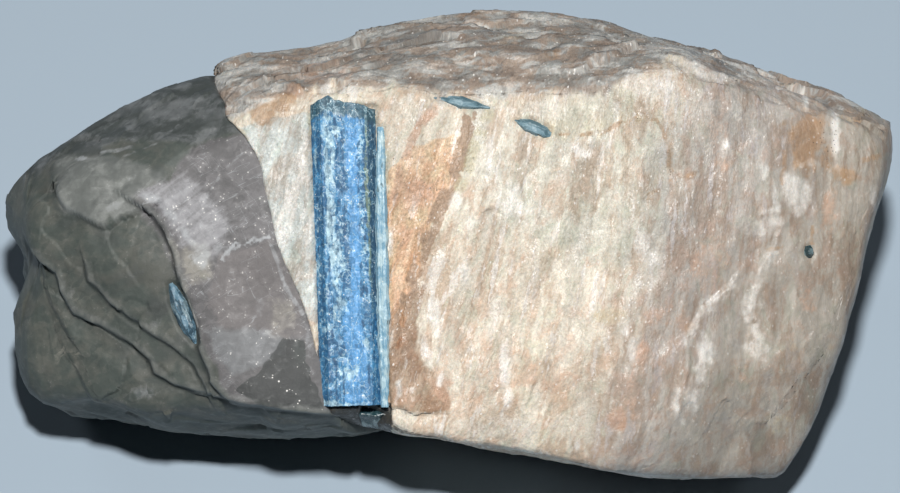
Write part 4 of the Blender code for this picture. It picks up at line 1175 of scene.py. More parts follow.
# %% The two lumps as meshes
feldspar_mesh = closed_mesh(
    "feldspar_skin", feldspar_points, *feldspar_skin.shape[:2], feldspar_masks,
    {"lay": along_fibres(feldspar_flat)},
)
quartz_mesh = closed_mesh(
    "quartz_skin", quartz_points, *quartz_skin.shape[:2], quartz_masks, {"lay": quartz_flat}
)
print("volumes in cubic millimetres:", round(volume(feldspar_mesh)), round(volume(quartz_mesh)))

# %% [markdown]
# ## Shader maths as expressions
# A node tree is a formula drawn as boxes. A small class wraps one socket and overloads the operators, so
# the formula can be written as a formula and each operator adds its Math node. Every other node comes
# from one method that takes the node's type, its settings and the values or links of its sockets.

# %% Wires
class Wire:
    """A value that flows out of a node; operators on it add Math nodes."""

    def __init__(self, look, socket):
        self.look = look
        self.socket = socket

    def math(self, operation, first, second=None):
        """A Math node on one or two values."""
        values = {0: first} if second is None else {0: first, 1: second}
        return self.look.node("ShaderNodeMath", {"operation": operation}, values)

    def __add__(self, other):
        return self.math("ADD", self, other)

    def __radd__(self, other):
        return self.math("ADD", other, self)

    def __sub__(self, other):
        return self.math("SUBTRACT", self, other)

    def __rsub__(self, other):
        return self.math("SUBTRACT", other, self)

    def __mul__(self, other):
        return self.math("MULTIPLY", self, other)

    def __rmul__(self, other):
        return self.math("MULTIPLY", other, self)

    def absolute(self):
        """The value without its sign."""
        return self.math("ABSOLUTE", self)

    def rise(self, low, high):
        """0 below low, 1 above high, smooth between."""
        return self.look.node(
            "ShaderNodeMapRange", {"interpolation_type": "SMOOTHSTEP"},
            {"Value": self, "From Min": low, "From Max": high},
        )


print("operators on a wire: +, -, * and their reflected forms")

# %% Looks
class Look:
    """A material in the making."""

    def __init__(self, name):
        self.material = bpy.data.materials.new(name)
        self.material.use_nodes = True
        self.tree = self.material.node_tree
        self.shader = self.tree.nodes["Principled BSDF"]
        self.colour = None

    def feed(self, socket, value):
        """Link a wire to a socket, or set the socket's own value."""
        if isinstance(value, Wire):
            self.tree.links.new(value.socket, socket)
        elif isinstance(value, tuple) and len(value) == 3 and socket.type == "RGBA":
            socket.default_value = (*value, 1.0)
        else:
            socket.default_value = value

    def node(self, kind, settings, inputs, output=0):
        """A node of a type: its settings first, then the values or links of its sockets."""
        made = self.tree.nodes.new(kind)
        for setting, value in settings.items():
            setattr(made, setting, value)
        for socket, value in inputs.items():
            self.feed(made.inputs[socket], value)
        return Wire(self, made.outputs[output])

    def mask(self, name):
        """A number that the mesh carries."""
        return self.node("ShaderNodeAttribute", {"attribute_name": name}, {}, "Fac")

    def place(self, name):
        """A vector that the mesh carries."""
        return self.node("ShaderNodeAttribute", {"attribute_name": name}, {}, "Vector")

    def stretched(self, vector, spacing):
        """A vector divided by a spacing for each axis."""
        scale = tuple(1 / value for value in spacing)
        return self.node("ShaderNodeVectorMath", {"operation": "MULTIPLY"}, {0: vector, 1: scale})

    def turned(self, vector, degrees):
        """A vector turned in the face."""
        rotation = (0.0, 0.0, math.radians(degrees))
        return self.node(
            "ShaderNodeMapping", {"vector_type": "POINT"}, {"Vector": vector, "Rotation": rotation},
        )

    def noise(self, vector, spacing, detail, roughness, distortion=0.0):
        """Fractal noise between 0 and 1, with a spacing for each axis."""
        return self.node(
            "ShaderNodeTexNoise", {}, {
                "Vector": self.stretched(vector, spacing), "Scale": 1.0, "Detail": detail,
                "Roughness": roughness, "Distortion": distortion,
            },
        )

    def scattered(self, vector, spacing, settings, output):
        """A Voronoi texture, with a spacing for each axis."""
        inputs = {"Vector": self.stretched(vector, spacing), "Scale": 1.0}
        return self.node("ShaderNodeTexVoronoi", settings, inputs, output)

    def cells(self, vector, spacing):
        """Distance to the nearest of scattered points."""
        return self.scattered(vector, spacing, {}, "Distance")

    def cell_value(self, vector, spacing):
        """A random number for each scattered cell."""
        colour = self.scattered(vector, spacing, {}, "Color")
        return self.node("ShaderNodeSeparateColor", {}, {0: colour})

    def borders(self, vector, spacing):
        """Distance to the border between scattered cells."""
        return self.scattered(vector, spacing, {"feature": "DISTANCE_TO_EDGE"}, "Distance")

    def bent(self, vector, spacing, reach):
        """A vector pushed about by noise, so that what is drawn on it gets wandering edges."""
        push = self.node(
            "ShaderNodeTexNoise", {},
            {"Vector": self.stretched(vector, (spacing,) * 3), "Scale": 1.0, "Detail": 2.0}, "Color",
        )
        middle = self.node("ShaderNodeVectorMath", {"operation": "SUBTRACT"}, {0: push, 1: (0.5, 0.5, 0.5)})
        return self.node(
            "ShaderNodeVectorMath", {"operation": "MULTIPLY_ADD"}, {0: middle, 1: (reach,) * 3, 2: vector},
        )

    def blend(self, factor, first, second, kind="MIX"):
        """Two colours mixed by a factor; for colours, the Mix node uses sockets 6, 7 and output 2."""
        settings = {"data_type": "RGBA", "blend_type": kind}
        return self.node("ShaderNodeMix", settings, {0: factor, 6: first, 7: second}, 2)

    def mix(self, factor, tint, kind="MIX"):
        """Mix a tint into the look's own colour by a factor."""
        self.colour = self.blend(factor, self.colour, tint, kind)

    def over(self, ragged, mask, tint, low, high, strength, kind="MIX"):
        """Mix a tint in where a mask of the mesh plus ragged noise rises from low to high."""
        self.mix((self.mask(mask) + ragged).rise(low, high) * strength, tint, kind)

    def bump(self, height, strength, distance):
        """A normal tilted by a height given in units of the distance."""
        inputs = {"Height": height, "Strength": strength, "Distance": distance}
        return self.node("ShaderNodeBump", {}, inputs)

    def finish(self, **inputs):
        """Set or link the Principled shader's sockets, underscores standing for spaces."""
        for socket, value in inputs.items():
            self.feed(self.shader.inputs[socket.replace("_", " ")], value)
        return self.material


print("what a look can do:", ", ".join(name for name in vars(Look) if not name.startswith("_")))

# %% [markdown]
# ## The finish of the feldspar
# Feldspar is cream to salmon, never one flat colour: cleavage splinters catch the light as pale streaks,
# iron stains the pits, and tiny dark grains sit in it. The colour is a stack of layers, each mixed in by
# its mask, and the mask's edge is broken up by noise so that no patch looks airbrushed.

# %% Colours of the feldspar
CREAM = (0.69, 0.63, 0.53)
BUFF = (0.52, 0.41, 0.31)
PEACH = (0.60, 0.43, 0.32)
MOSS_GREY = (0.55, 0.54, 0.43)
PALE = (0.80, 0.78, 0.74)
UMBER = (0.06, 0.05, 0.035)
# Painted shade, for the hollows of the crust and the gaps between flakes and splinters.
CRUST_SHADE = (0.12, 0.095, 0.08)
CRUST_GREY = (0.290, 0.297, 0.290)
CRUST_PINK = (0.320, 0.255, 0.210)
MINERAL_TINTS = (  # mask, tint, low, high, strength
    ("band", (1.0, 0.80, 0.65), 0.2, 0.8, 1.0),
    ("chalk", (0.85, 0.98, 1.12), 0.2, 0.8, 1.0),
    ("mossy", (0.87, 0.905, 0.925), 0.0, 1.0, 1.0),
    ("loam", (0.61, 0.50, 0.43), 0.1, 0.9, 1.0),
)
BROAD_TINTS = (
    ("rosy", (0.665, 0.67, 0.725), 0.0, 1.0, 1.0),
    ("dull", (0.81, 0.80, 0.76), 0.0, 1.0, 1.0),
)
FELDSPAR_LAYERS = (
    ("salmon", (0.52, 0.33, 0.23), 0.2, 1.1, 0.75),
    ("vein", (0.35, 0.24, 0.165), 0.25, 0.75, 0.9),
    ("olive", (0.50, 0.45, 0.29), 0.3, 1.1, 0.55),
    # The white layer is pale cleavage and, in places, painted glints on lit cleavage steps.
    ("white", PALE, 0.15, 1.35, 0.85),
    ("rust", (0.36, 0.22, 0.12), 0.3, 1.05, 0.7),
    ("bright", PALE, 0.2, 1.3, 0.65),
)
print("layers on the feldspar:", ", ".join(layer[0] for layer in FELDSPAR_LAYERS))

# %% The feldspar's finish
def feldspar_finish():
    """Cream, buff, peach and grey streaked along the fibres, tinted by zones, then the masks over them."""
    look = Look("feldspar")
    lay = look.place("lay")
    wander = look.bent(lay, 1.2, 0.9)
    grain = look.noise(lay, (0.28, 0.40, 0.40), 2.0, 0.6)
    fine = look.noise(lay, (0.8, 1.5, 1.3), 3.0, 0.6, 0.3)
    streak = look.noise(lay, (1.4, 5.0, 3.0), 3.0, 0.6, 0.6)
    blotch = look.noise(lay, (2.4, 5.0, 4.0), 3.0, 0.55, 0.8)
    broad = look.noise(lay, (6.5, 10.0, 8.0), 2.0, 0.5, 0.6)
    warm = look.noise(lay, (3.3, 4.7, 4.4), 3.0, 0.6, 1.2)
    chips = look.cell_value(wander, (0.55, 1.1, 0.9))
    crisp = look.mask("crisp")
    ragged = (grain - 0.5) * 0.3 + (fine - 0.5) * 0.9 + (streak - 0.5) * 0.7
    less_ragged = ragged * 0.7
    strand = look.noise(wander, (1.1, 9.0, 3.0), 3.0, 0.6, 0.2)
    mixed = blotch * 0.6 + strand * 0.4 + (broad - 0.5) * 0.7 + (strand - 0.5) * 0.6 + (fine - 0.5) * 0.25
    look.colour = look.blend(mixed.rise(0.38, 0.64), CREAM, BUFF)
    look.mix((warm + (fine - 0.5) * 0.5).rise(0.52, 0.68) * 0.5, PEACH)
    look.mix((warm + (streak - 0.5) * 0.6).rise(0.46, 0.30) * 0.6, MOSS_GREY)
    for tint in MINERAL_TINTS:
        look.over(less_ragged, *tint, "MULTIPLY")
    pale_streaks = (strand + (streak - 0.5) * 0.6).rise(0.56, 0.68) * (crisp * 0.45 + 0.15)
    look.mix(pale_streaks, PALE)
    for tint in BROAD_TINTS:
        look.over(less_ragged, *tint, "MULTIPLY")
    layers = look.noise(look.bent(lay, 4.0, 3.0), (7.0, 1.3, 1.6), 3.0, 0.6)
    crusty = look.blend((warm + (layers - 0.5) * 1.2).rise(0.42, 0.60), CRUST_GREY, CRUST_PINK)
    # Darker shelves in the crust: painted shade in its hollows.
    shelves = look.noise(look.bent(lay, 7.0, 5.0), (9.0, 3.2, 4.0), 2.0, 0.5)
    crusty = look.blend((shelves + (layers - 0.5) * 0.4).rise(0.50, 0.64) * 0.45, crusty, CRUST_SHADE)
    crusty = look.blend((layers + (shelves - 0.5)).rise(0.52, 0.36) * 0.4, crusty, PALE)
    look.over(ragged, "crust", crusty, 0.2, 0.9, 0.9)
    for layer in FELDSPAR_LAYERS:
        look.over(ragged, *layer)
    leaf = (look.mask("leaf") + (fine - 0.5) * 0.4) * 0.26 + 0.87
    look.mix(1.0, leaf, "MULTIPLY")
    # Painted shade along the gaps between flakes and splinters.
    edges = (look.mask("edges") + (fine - 0.5) * 1.6).rise(0.5, 1.3)
    look.mix(edges * 0.55, CRUST_SHADE)
    # Near-black painted shade in the recess under the prism's foot.
    look.over(ragged, "soot", (0.012, 0.015, 0.015), 0.3, 0.8, 0.95)
    glints = look.cells(lay, (0.6, 0.8, 0.8))
    look.mix((0.26 - glints).rise(0.0, 0.12) * fine.rise(0.5, 0.6) * crisp * 0.7, PALE)
    specks = look.cells(lay, (0.5, 0.5, 0.5))
    dotted = (look.mask("dotted") + (fine - 0.5) * 1.2 + (grain - 0.5)).rise(0.45, 0.9)
    look.mix((0.22 - specks).rise(0.0, 0.1) * dotted * 0.7, UMBER)
    look.mix((look.mask("dark") + (fine - 0.5) * 0.9).rise(0.5, 0.9) * 0.85, UMBER)
    sugar = (grain - 0.5) * (look.mask("band") * 0.6 + 0.72)
    light = 1.0 + (sugar + (chips - 0.5) * 0.14) * (crisp + 0.1) + (fine - 0.5) * 0.4
    look.mix(1.0, light, "MULTIPLY")
    relief = (streak * 0.4 + fine * 0.6 + grain * 0.2 + chips * 0.06) * (crisp + 0.1)
    return look.finish(
        Base_Color=look.colour,
        Roughness=0.58 - (streak + (chips - 0.5) * 0.3).rise(0.45, 0.72) * 0.24,
        Normal=look.bump(relief, 0.7, 0.0006),
        IOR=1.53,
        Subsurface_Weight=0.15,
        Subsurface_Radius=(0.9, 0.6, 0.4),
        Subsurface_Scale=0.0012,
    )


feldspar_look = feldspar_finish()
print("feldspar nodes:", len(feldspar_look.node_tree.nodes))

# %% [markdown]
# ## The finish of the smoky quartz
# Smoky quartz is dark because light goes in and is lost between fractures. Its flat plate still looks
# pale from the front: that is a broad gloss over a dark body, so the colour stays dark and the
# roughness makes the sheen. Veils of tiny bubbles turn it milky in patches.

# %% Colours of the quartz
SMOKE = (0.066, 0.080, 0.072)
SMOKE_WARM = (0.098, 0.103, 0.090)
BROW_DARK = (0.055, 0.064, 0.062)
GLOW = (0.38, 0.38, 0.40)
NIGHT = (0.026, 0.031, 0.031)
SLAB = (0.205, 0.215, 0.205)
MILK = (0.42, 0.44, 0.46)
QUARTZ_GREYS = (  # mask, darker grey, lighter grey
    ("brow", BROW_DARK, (0.145, 0.155, 0.158)),
    ("slab", (0.135, 0.145, 0.138), SLAB),
    ("plate", (0.105, 0.102, 0.105), (0.150, 0.145, 0.150)),
)
QUARTZ_LAYERS = (  # mask, tint, low, high, strength
    ("mauve", (0.170, 0.155, 0.155), 0.2, 0.9, 0.75),
    ("frost", (0.20, 0.21, 0.22), 0.2, 0.9, 0.7),
    ("night", NIGHT, 0.2, 0.6, 0.85),
    # Deep: dark smoke, and along its first line painted shadow under the slab.
    ("deep", BROW_DARK, 0.2, 1.0, 0.75),
    ("tan", (0.36, 0.34, 0.29), 0.25, 1.05, 0.6),
    ("milky", MILK, 0.3, 1.15, 0.7),
)
print("layers on the quartz:", ", ".join(layer[0] for layer in QUARTZ_LAYERS))

# %% The quartz's finish
def quartz_finish():
    """Two greys by cloudy noise in each zone, then the masks, with hairline scratches and pinpoints of
    painted glint.
    """
    look = Look("smoky_quartz")
    lay = look.place("lay")
    fine = look.noise(lay, (0.9, 0.9, 0.9), 3.0, 0.6, 0.3)
    cloud = look.noise(lay, (4.5, 3.5, 4.5), 3.0, 0.55, 0.8)
    facets = look.cell_value(look.turned(look.bent(lay, 1.6, 1.2), 55.0), (1.0, 2.6, 1.8))
    ragged = (fine - 0.5) * 0.6 + (cloud - 0.5) * 0.8 + (facets - 0.5) * 0.3
    lighter = (cloud + (fine - 0.5) * 0.3 + (facets - 0.5) * 0.12).rise(0.38, 0.66)
    look.colour = look.blend(lighter, SMOKE, SMOKE_WARM)
    for zone, dim, bright in QUARTZ_GREYS:
        look.mix(look.mask(zone), look.blend(lighter, dim, bright))
    rays = look.noise(look.turned(lay, 55.0), (1.1, 9.0, 4.0), 3.0, 0.6, 0.4)
    glow = look.mask("glow") + (rays - 0.5) * 1.6 + (fine - 0.5) * 0.6
    look.mix(glow.rise(0.3, 1.3) * 0.85, GLOW)
    for layer in QUARTZ_LAYERS:
        look.over(ragged, *layer)
    # Painted highlight just above each ledge, and painted shade just below it.
    lit = look.mask("crest") + (cloud - 0.5) * 1.4 + (fine - 0.5) * 0.8
    look.mix(lit.rise(0.3, 1.3) * 0.5, SLAB)
    look.mix((look.mask("crease") * 0.9).rise(0.0, 1.0) * 0.5, NIGHT)
    hair = look.noise(look.turned(lay, 60.0), (1.6, 14.0, 6.0), 3.0, 0.6, 0.6)
    cross = look.noise(look.turned(lay, -35.0), (2.2, 12.0, 6.0), 3.0, 0.6, 0.8)
    lines = (0.008 - (hair - 0.5).absolute()).rise(0.0, 0.006)
    lines = lines + (0.006 - (cross - 0.5).absolute()).rise(0.0, 0.004)
    scratched = look.mask("plate") * (1.0 - look.mask("night"))
    look.mix(lines * scratched * cloud.rise(0.42, 0.6) * 0.4, MILK)
    # Pale pinpoints where the quartz sparkles: painted glints.
    points = look.cells(lay, (0.42, 0.42, 0.42))
    sparkling = look.mask("glow") * 0.9 + look.mask("night") * 0.9 + look.mask("frost") * 0.8
    sparkling = (sparkling + look.mask("plate") * 0.4 + 0.06) * cloud.rise(0.38, 0.56)
    pinpoints = (0.30 - points).rise(0.0, 0.12) * fine.rise(0.54, 0.62)
    look.mix(pinpoints * sparkling, PALE)
    leaf = (look.mask("leaf") + (fine - 0.5) * 0.3) * 0.18 + 0.91
    look.mix(1.0, leaf, "MULTIPLY")
    light = 1.0 + (fine - 0.5) * 0.45 + (facets - 0.5) * 0.12
    look.mix(1.0, light, "MULTIPLY")
    return look.finish(
        Base_Color=look.colour,
        Roughness=0.64 - fine.rise(0.5, 0.75) * 0.12,
        Normal=look.bump(fine * 0.5 + facets * 0.05, 0.4, 0.0003),
        IOR=1.55,
        Subsurface_Weight=0.2,
        Subsurface_Radius=(1.0, 1.0, 1.0),
        Subsurface_Scale=0.0015,
    )


quartz_look = quartz_finish()
print("quartz nodes:", len(quartz_look.node_tree.nodes))

# %% The lumps take their CAD nodes' places
add_piece("feldspar_lump", feldspar_mesh, "feldspar_matrix", feldspar_look)
add_piece("quartz_lump", quartz_mesh, "quartz_mass", quartz_look)

# %% [markdown]
# ## The crystals
# A beryl prism has flat faces with fine lines along its length, cracks across it, and broken ends. Its
# surface is a section carried along the axis: one parameter runs round the section, the other from foot
# to head. The lines and cracks are small heights along the outward direction of each point.

# %% A crystal as a section carried along its axis
def section_walk(corners, spacing):
    """Points round a section, evenly spaced on each side, with their outward directions."""
    corners = np.array(corners[::-1], float)
    points, outs = [], []
    for corner, after in zip(corners, np.roll(corners, -1, 0)):
        side = after - corner
        steps = max(2, round(float(np.hypot(*side)) / spacing))
        share = np.linspace(0, 1, steps, endpoint=False)[:, None]
        points.append(corner + share * side)
        out = np.array([side[1], -side[0]]) / np.hypot(*side)
        outs.append(np.broadcast_to(out, (steps, 2)))
    return np.concatenate(points), np.concatenate(outs)


def crystal_grid(crystal, spacing, rows, end_rows, end_shift):
    """Rows of the section from foot to head, then caps that shrink to the axis at both ends."""
    length, axis, sideways, outwards = crystal_axes(crystal)
    walk, outs = section_walk(crystal["corners"], spacing)
    low, high = crystal["taper"]
    share = np.linspace(0, 1, rows)
    swell = crystal.get("swell", SWELL)
    size = low + (1 - low) * np.minimum(share / swell, 1)
    size = np.minimum(size, high + (1 - high) * np.minimum((1 - share) / swell, 1))
    shrink = np.linspace(0, 1, end_rows, endpoint=False)
    size = np.concatenate([low * shrink, size, high * shrink[::-1]])
    share = np.concatenate([np.zeros(end_rows), share, np.ones(end_rows)])
    section = size[:, None, None] * walk
    along = share[:, None] * length + end_shift(section[..., 0], share[:, None] * np.ones(len(walk)))
    points = (
        np.array(crystal["foot"]) + along[..., None] * axis + section[..., :1] * sideways
        + section[..., 1:] * outwards
    )
    normals = np.broadcast_to(outs[:, :1] * sideways + outs[:, 1:] * outwards, points.shape)
    on_side = np.zeros(len(share))
    on_side[end_rows:-end_rows] = 1
    lay = np.stack([section[..., 0], along, section[..., 1]], -1)
    return points, normals, on_side[:, None] * np.ones(len(walk)), lay


CRACK_HALF = 0.07  # half width of a crack's groove


def striae(lay, fine, coarse):
    """Lines along the axis: noise over the section that hardly changes along the crystal."""
    flat = lay.reshape(-1, 3)
    lines = wave(flat, (0.22, 16.0, 0.22), fine, 61) + wave(flat, (0.6, 20.0, 0.6), coarse, 62)
    chips = wave(flat, (0.8, 0.8, 0.8), fine * 1.2, 63) + wave(flat, (0.3, 0.3, 0.3), fine * 0.6, 64)
    return (lines + chips).reshape(lay.shape[:2])


def sawtooth(place):
    """Climbs from -0.5 to 0.5 over each unit of place and drops back at once."""
    return place - np.floor(place) - 0.5


def cracks(lay, spacing, depth):
    """Cracks across the prism: thin grooves wherever a bent height crosses a whole number."""
    flat = lay.reshape(-1, 3)
    place = flat[:, 1] / spacing + wave(flat, (1.2, 3.0, 1.2), 0.7, 65) + wave(flat, (5, 9, 5), 1.0, 66)
    apart = np.abs(sawtooth(place))
    strength = np.clip(0.4 + wave(flat, (1.5, 2.5, 1.5), 1.6, 67), 0, 1)
    groove = np.exp(-((0.5 - apart) * spacing / CRACK_HALF) ** 2)
    return (strength * groove * depth).reshape(lay.shape[:2])


PRISM_SPACING = 0.1
print("points round the prism's section:", len(section_walk(PRISM["corners"], PRISM_SPACING)[0]))

# %% [markdown]
# ## The large prism
# Seen from the front the prism is a set of upright bands: a dark bevel, a milky streak, a speckled
# band, a bright blue band, a ladder of pale cracks and a dark blue bevel darkened with painted shade.
# Painted shade also darkens the head, under the stone that overhangs it. The bands run with the growth
# of the crystal, so their masks depend on the sideways place and only slowly on the height.

# %% The prism's head, patches and cracks
HEAD_SIDEWAYS = (-4.2, -3.6, -2.4, -1.7, -0.9, 0.4, 1.8, 2.9, 3.9)
HEAD_SHIFT = (0.0, 0.4, 1.2, 1.4, 0.8, 0.5, 0.3, -0.1, -0.5)


def broken_head(sideways, share):
    """The head's broken outline, and a slightly uneven foot."""
    flat = np.stack([sideways.ravel(), share.ravel() * 9, np.zeros(sideways.size)], 1)
    jag = wave(flat, 0.7, 0.22, 71).reshape(sideways.shape)
    head = np.interp(sideways, HEAD_SIDEWAYS, HEAD_SHIFT) + jag
    return head * eased_step(share, 0.9, 1.0) + 0.5 * jag * (1 - eased_step(share, 0.0, 0.1))


def band(values, low, high, soft):
    """1 between low and high, with soft sides."""
    return eased_step(values, low - soft, low + soft) * (1 - eased_step(values, high - soft, high + soft))


def crack_lines(flat, spacing, width, seed):
    """Thin lines along the borders between broken cells."""
    gap = broken_cells(bent(flat, 1.2, 0.25, seed), spacing, seed)[2]
    return 1 - eased_step(gap, 0.3 * width, width)


PRISM_PATCHES = {  # sideways, height, half width, half height, strength, slant in degrees if any
    "deep": (
        (-2.6, 14.1, 0.7, 1.0, 1.0), (-2.7, 8.2, 0.6, 0.8, 1.0), (-2.6, 6.5, 0.8, 0.7, 1.0),
        (-2.5, 4.1, 0.8, 1.0, 0.6), (2.0, 1.9, 1.2, 1.4, 0.6), (-0.5, 27.5, 0.7, 1.1, 1.1),
        (-3.0, 25.1, 0.7, 1.8, 1.0), (-3.2, 21.7, 0.7, 1.3, 1.1), (0.05, 18.0, 0.3, 2.6, 1.1),
        (-0.3, 22.0, 0.5, 0.8, 0.8), (2.3, 11.5, 0.7, 1.6, 0.5), (-3.0, 31.0, 0.5, 1.6, 0.8),
        (-3.3, 36.0, 0.5, 0.8, 0.9), (0.1, 36.2, 0.8, 0.5, 0.8), (-1.0, 30.0, 0.4, 1.2, 0.8),
    ),
    "milky": (
        (-0.4, 0.15, 3.6, 0.25, 0.9), (0.0, 4.1, 1.0, 0.9, 1.0), (-0.85, 12.5, 0.7, 1.1, 0.9, 15),
        (2.2, 7.7, 0.45, 0.75, 1.0), (-2.3, 9.5, 0.6, 0.5, 0.8), (-2.1, 33.5, 0.6, 0.9, 0.9),
        (-0.9, 33.6, 0.5, 0.9, 0.8), (0.9, 35.9, 0.45, 0.6, 1.0, 20), (-1.2, 19.0, 0.9, 3.4, 0.8),
        (-2.6, 0.4, 1.2, 0.4, 1.0), (-1.2, 8.0, 0.4, 1.4, 0.5), (0.6, 6.5, 0.4, 1.6, 0.4),
    ),
}
CRACKS = (  # from and to on the prism, half width, strength
    (((-3.4, 5.6), (-1.2, 6.0), (0.2, 5.7)), 0.05, 1.0),
    (((-3.2, 2.0), (-2.0, 2.6), (-1.6, 3.4)), 0.06, 1.0),
    (((-3.6, 24.0), (-2.4, 24.4)), 0.05, 0.9), (((-3.7, 19.4), (-2.4, 19.8)), 0.05, 0.9),
    (((-3.8, 29.2), (-2.5, 29.0)), 0.05, 0.8), (((-3.3, 10.4), (-1.9, 10.0)), 0.05, 0.8),
    (((-1.2, 29.6), (0.0, 29.2)), 0.05, 0.8), (((-3.3, 7.3), (-1.6, 7.6)), 0.05, 0.7),
)
print("cracks across the prism:", len(CRACKS))

# %% Masks of the prism's bands
def prism_masks(lay):
    """Masks of the prism's bands from the sideways place, the height and noise."""
    flat = lay.reshape(-1, 3)
    side, height = flat[:, 0], flat[:, 1]
    wander = side + wave(flat, (2.0, 3.4, 2.0), 0.25, 72) + wave(flat, (0.5, 0.7, 0.5), 0.16, 73)
    ragged = wave(flat, (0.5, 0.7, 0.5), 0.6, 74) + wave(flat, 0.3, 0.3, 75)
    streak_at = np.interp(height, (8, 14, 19, 34), (-1.5, -1.2, -1.75, -1.85))
    bright_at = np.interp(height, (6, 10, 14, 34), (0.8, 0.4, 1.0, 0.95))
    bright_half = np.interp(height, (0, 6, 10, 14, 34), (1.6, 1.2, 1.3, 0.55, 0.8))
    upper = eased_step(height + ragged, 10.0, 14.0)
    cloud = wave(flat, (0.8, 2.2, 0.8), 1.0, 79) + wave(flat, (0.4, 0.6, 0.4), 0.6, 80)
    cloud = eased_step(cloud, -0.3, 0.4)
    coarse = crack_lines(flat, (1.1, 1.3, 1.1), 0.10, 85)
    small = crack_lines(flat, (0.5, 0.55, 0.5), 0.14, 88)
    rungs = crack_lines(flat, (1.2, 0.45, 1.2), 0.18, 91)
    patchy = eased_step(wave(flat, (1.1, 1.8, 1.1), 1.0, 94), 0.0, 0.4)
    spotty = wave(flat, (0.7, 0.9, 0.7), 1.0, 95) + wave(flat, (0.3, 0.4, 0.3), 0.5, 96)
    spotty = eased_step(spotty, 0.0, 0.5)
    streak = band(wander, streak_at - 0.62, streak_at + 0.62, 0.25) * eased_step(height, 8, 12)
    middle = band(wander, streak_at + 0.7, bright_at - bright_half, 0.2) * upper * (0.3 + 0.7 * spotty)
    ladder = band(wander, 1.8, 2.6, 0.15) * eased_step(height, 8, 10) * eased_step(patchy + cloud, 0.2, 1.0)
    # The rim under the head is darkened with painted shade, where the stone overhangs it.
    rim = eased_step(height - np.interp(side, HEAD_SIDEWAYS, HEAD_SHIFT) + 0.5 * ragged, 34.2, 35.3)
    lines = line_mask(flat, CRACKS, 0.3 * ragged, LINE_SOFTNESS) * (0.5 + 0.5 * spotty)
    milky = np.maximum(streak * (0.45 + 0.55 * cloud), patch_mask(flat, PRISM_PATCHES["milky"], ragged))
    milky = np.maximum(milky, lines) + 0.75 * ladder * rungs + 0.5 * coarse * patchy + 0.45 * small * patchy
    bevel = band(wander, -6, -2.5, 0.15) * 0.55 * spotty
    milky += 0.5 * band(wander, -6, -3.3, 0.2) * patchy
    deep = bevel + 0.8 * middle + patch_mask(flat, PRISM_PATCHES["deep"], ragged)
    deep += 0.25 * spotty * (1 - upper)
    bright = band(wander, bright_at - bright_half, bright_at + bright_half, 0.25)
    return {
        "milky": np.clip(milky * (1 - 0.6 * rim), 0, 1),
        "deep": np.clip(deep, 0, 1),
        "bright": np.clip(bright, 0, 1),
        # The right bevel, darkened with painted shade.
        "navy": band(wander, 2.9, 6, 0.1) * (0.35 + 0.65 * upper),
        "olive": band(wander, 2.6, 2.98, 0.1) * eased_step(height, 13, 17) * (0.6 + 0.4 * cloud),
        "rim": rim,
    }


print("masks of the prism:", ", ".join(prism_masks(np.zeros((1, 1, 3)))))

# %% The prism's mesh
PRISM_ROWS = 330
PRISM_END_ROWS = 12
PRISM_LINES = (0.018, 0.05)  # heights of the fine lines and of the coarse ones
PRISM_CRACKS = (1.1, 0.05)  # spacing and depth
MILKY_SUNK = 0.10  # the milky streaks lie this much deeper
prism_smooth, prism_out, prism_side, prism_lay = crystal_grid(
    PRISM, PRISM_SPACING, PRISM_ROWS, PRISM_END_ROWS, broken_head
)
prism_bands = prism_masks(prism_lay)
prism_milky = prism_bands["milky"].reshape(prism_side.shape)
prism_relief = striae(prism_lay, *PRISM_LINES) - cracks(prism_lay, *PRISM_CRACKS) - MILKY_SUNK * prism_milky
prism_points = prism_smooth + (prism_relief * prism_side)[..., None] * prism_out
prism_mesh = closed_mesh(
    "prism_skin", to_stone(prism_points.reshape(-1, 3)), *prism_points.shape[:2], prism_bands,
    {"lay": prism_lay.reshape(-1, 3)},
)
print("prism volume in cubic millimetres:", round(volume(prism_mesh), 1))

# %% Aquamarine
AQUA = (0.060, 0.235, 0.44)
AQUA_DEEP = (0.022, 0.115, 0.25)
AQUA_MILK = (0.42, 0.60, 0.67)
AQUA_FLAKES = (0.42, 0.75, 0.6)
AQUA_LAYERS = (  # mask, tint, low, high, strength
    ("bright", (0.085, 0.30, 0.60), 0.15, 0.9, 0.9),
    ("deep", AQUA_DEEP, 0.25, 0.95, 0.85),
    # The right bevel's layer and the rim's layer below are painted shade.
    ("navy", (0.04, 0.095, 0.155), 0.25, 0.9, 0.85),
    ("olive", (0.16, 0.22, 0.15), 0.2, 0.8, 0.85),
    ("rim", (0.035, 0.10, 0.14), 0.2, 0.8, 0.9),
    ("milky", AQUA_MILK, 0.35, 1.2, 0.8),
)
BERYL_GLOSS = {"IOR": 1.577, "Transmission_Weight": 0.06, "Coat_Weight": 0.06, "Coat_Roughness": 0.3}


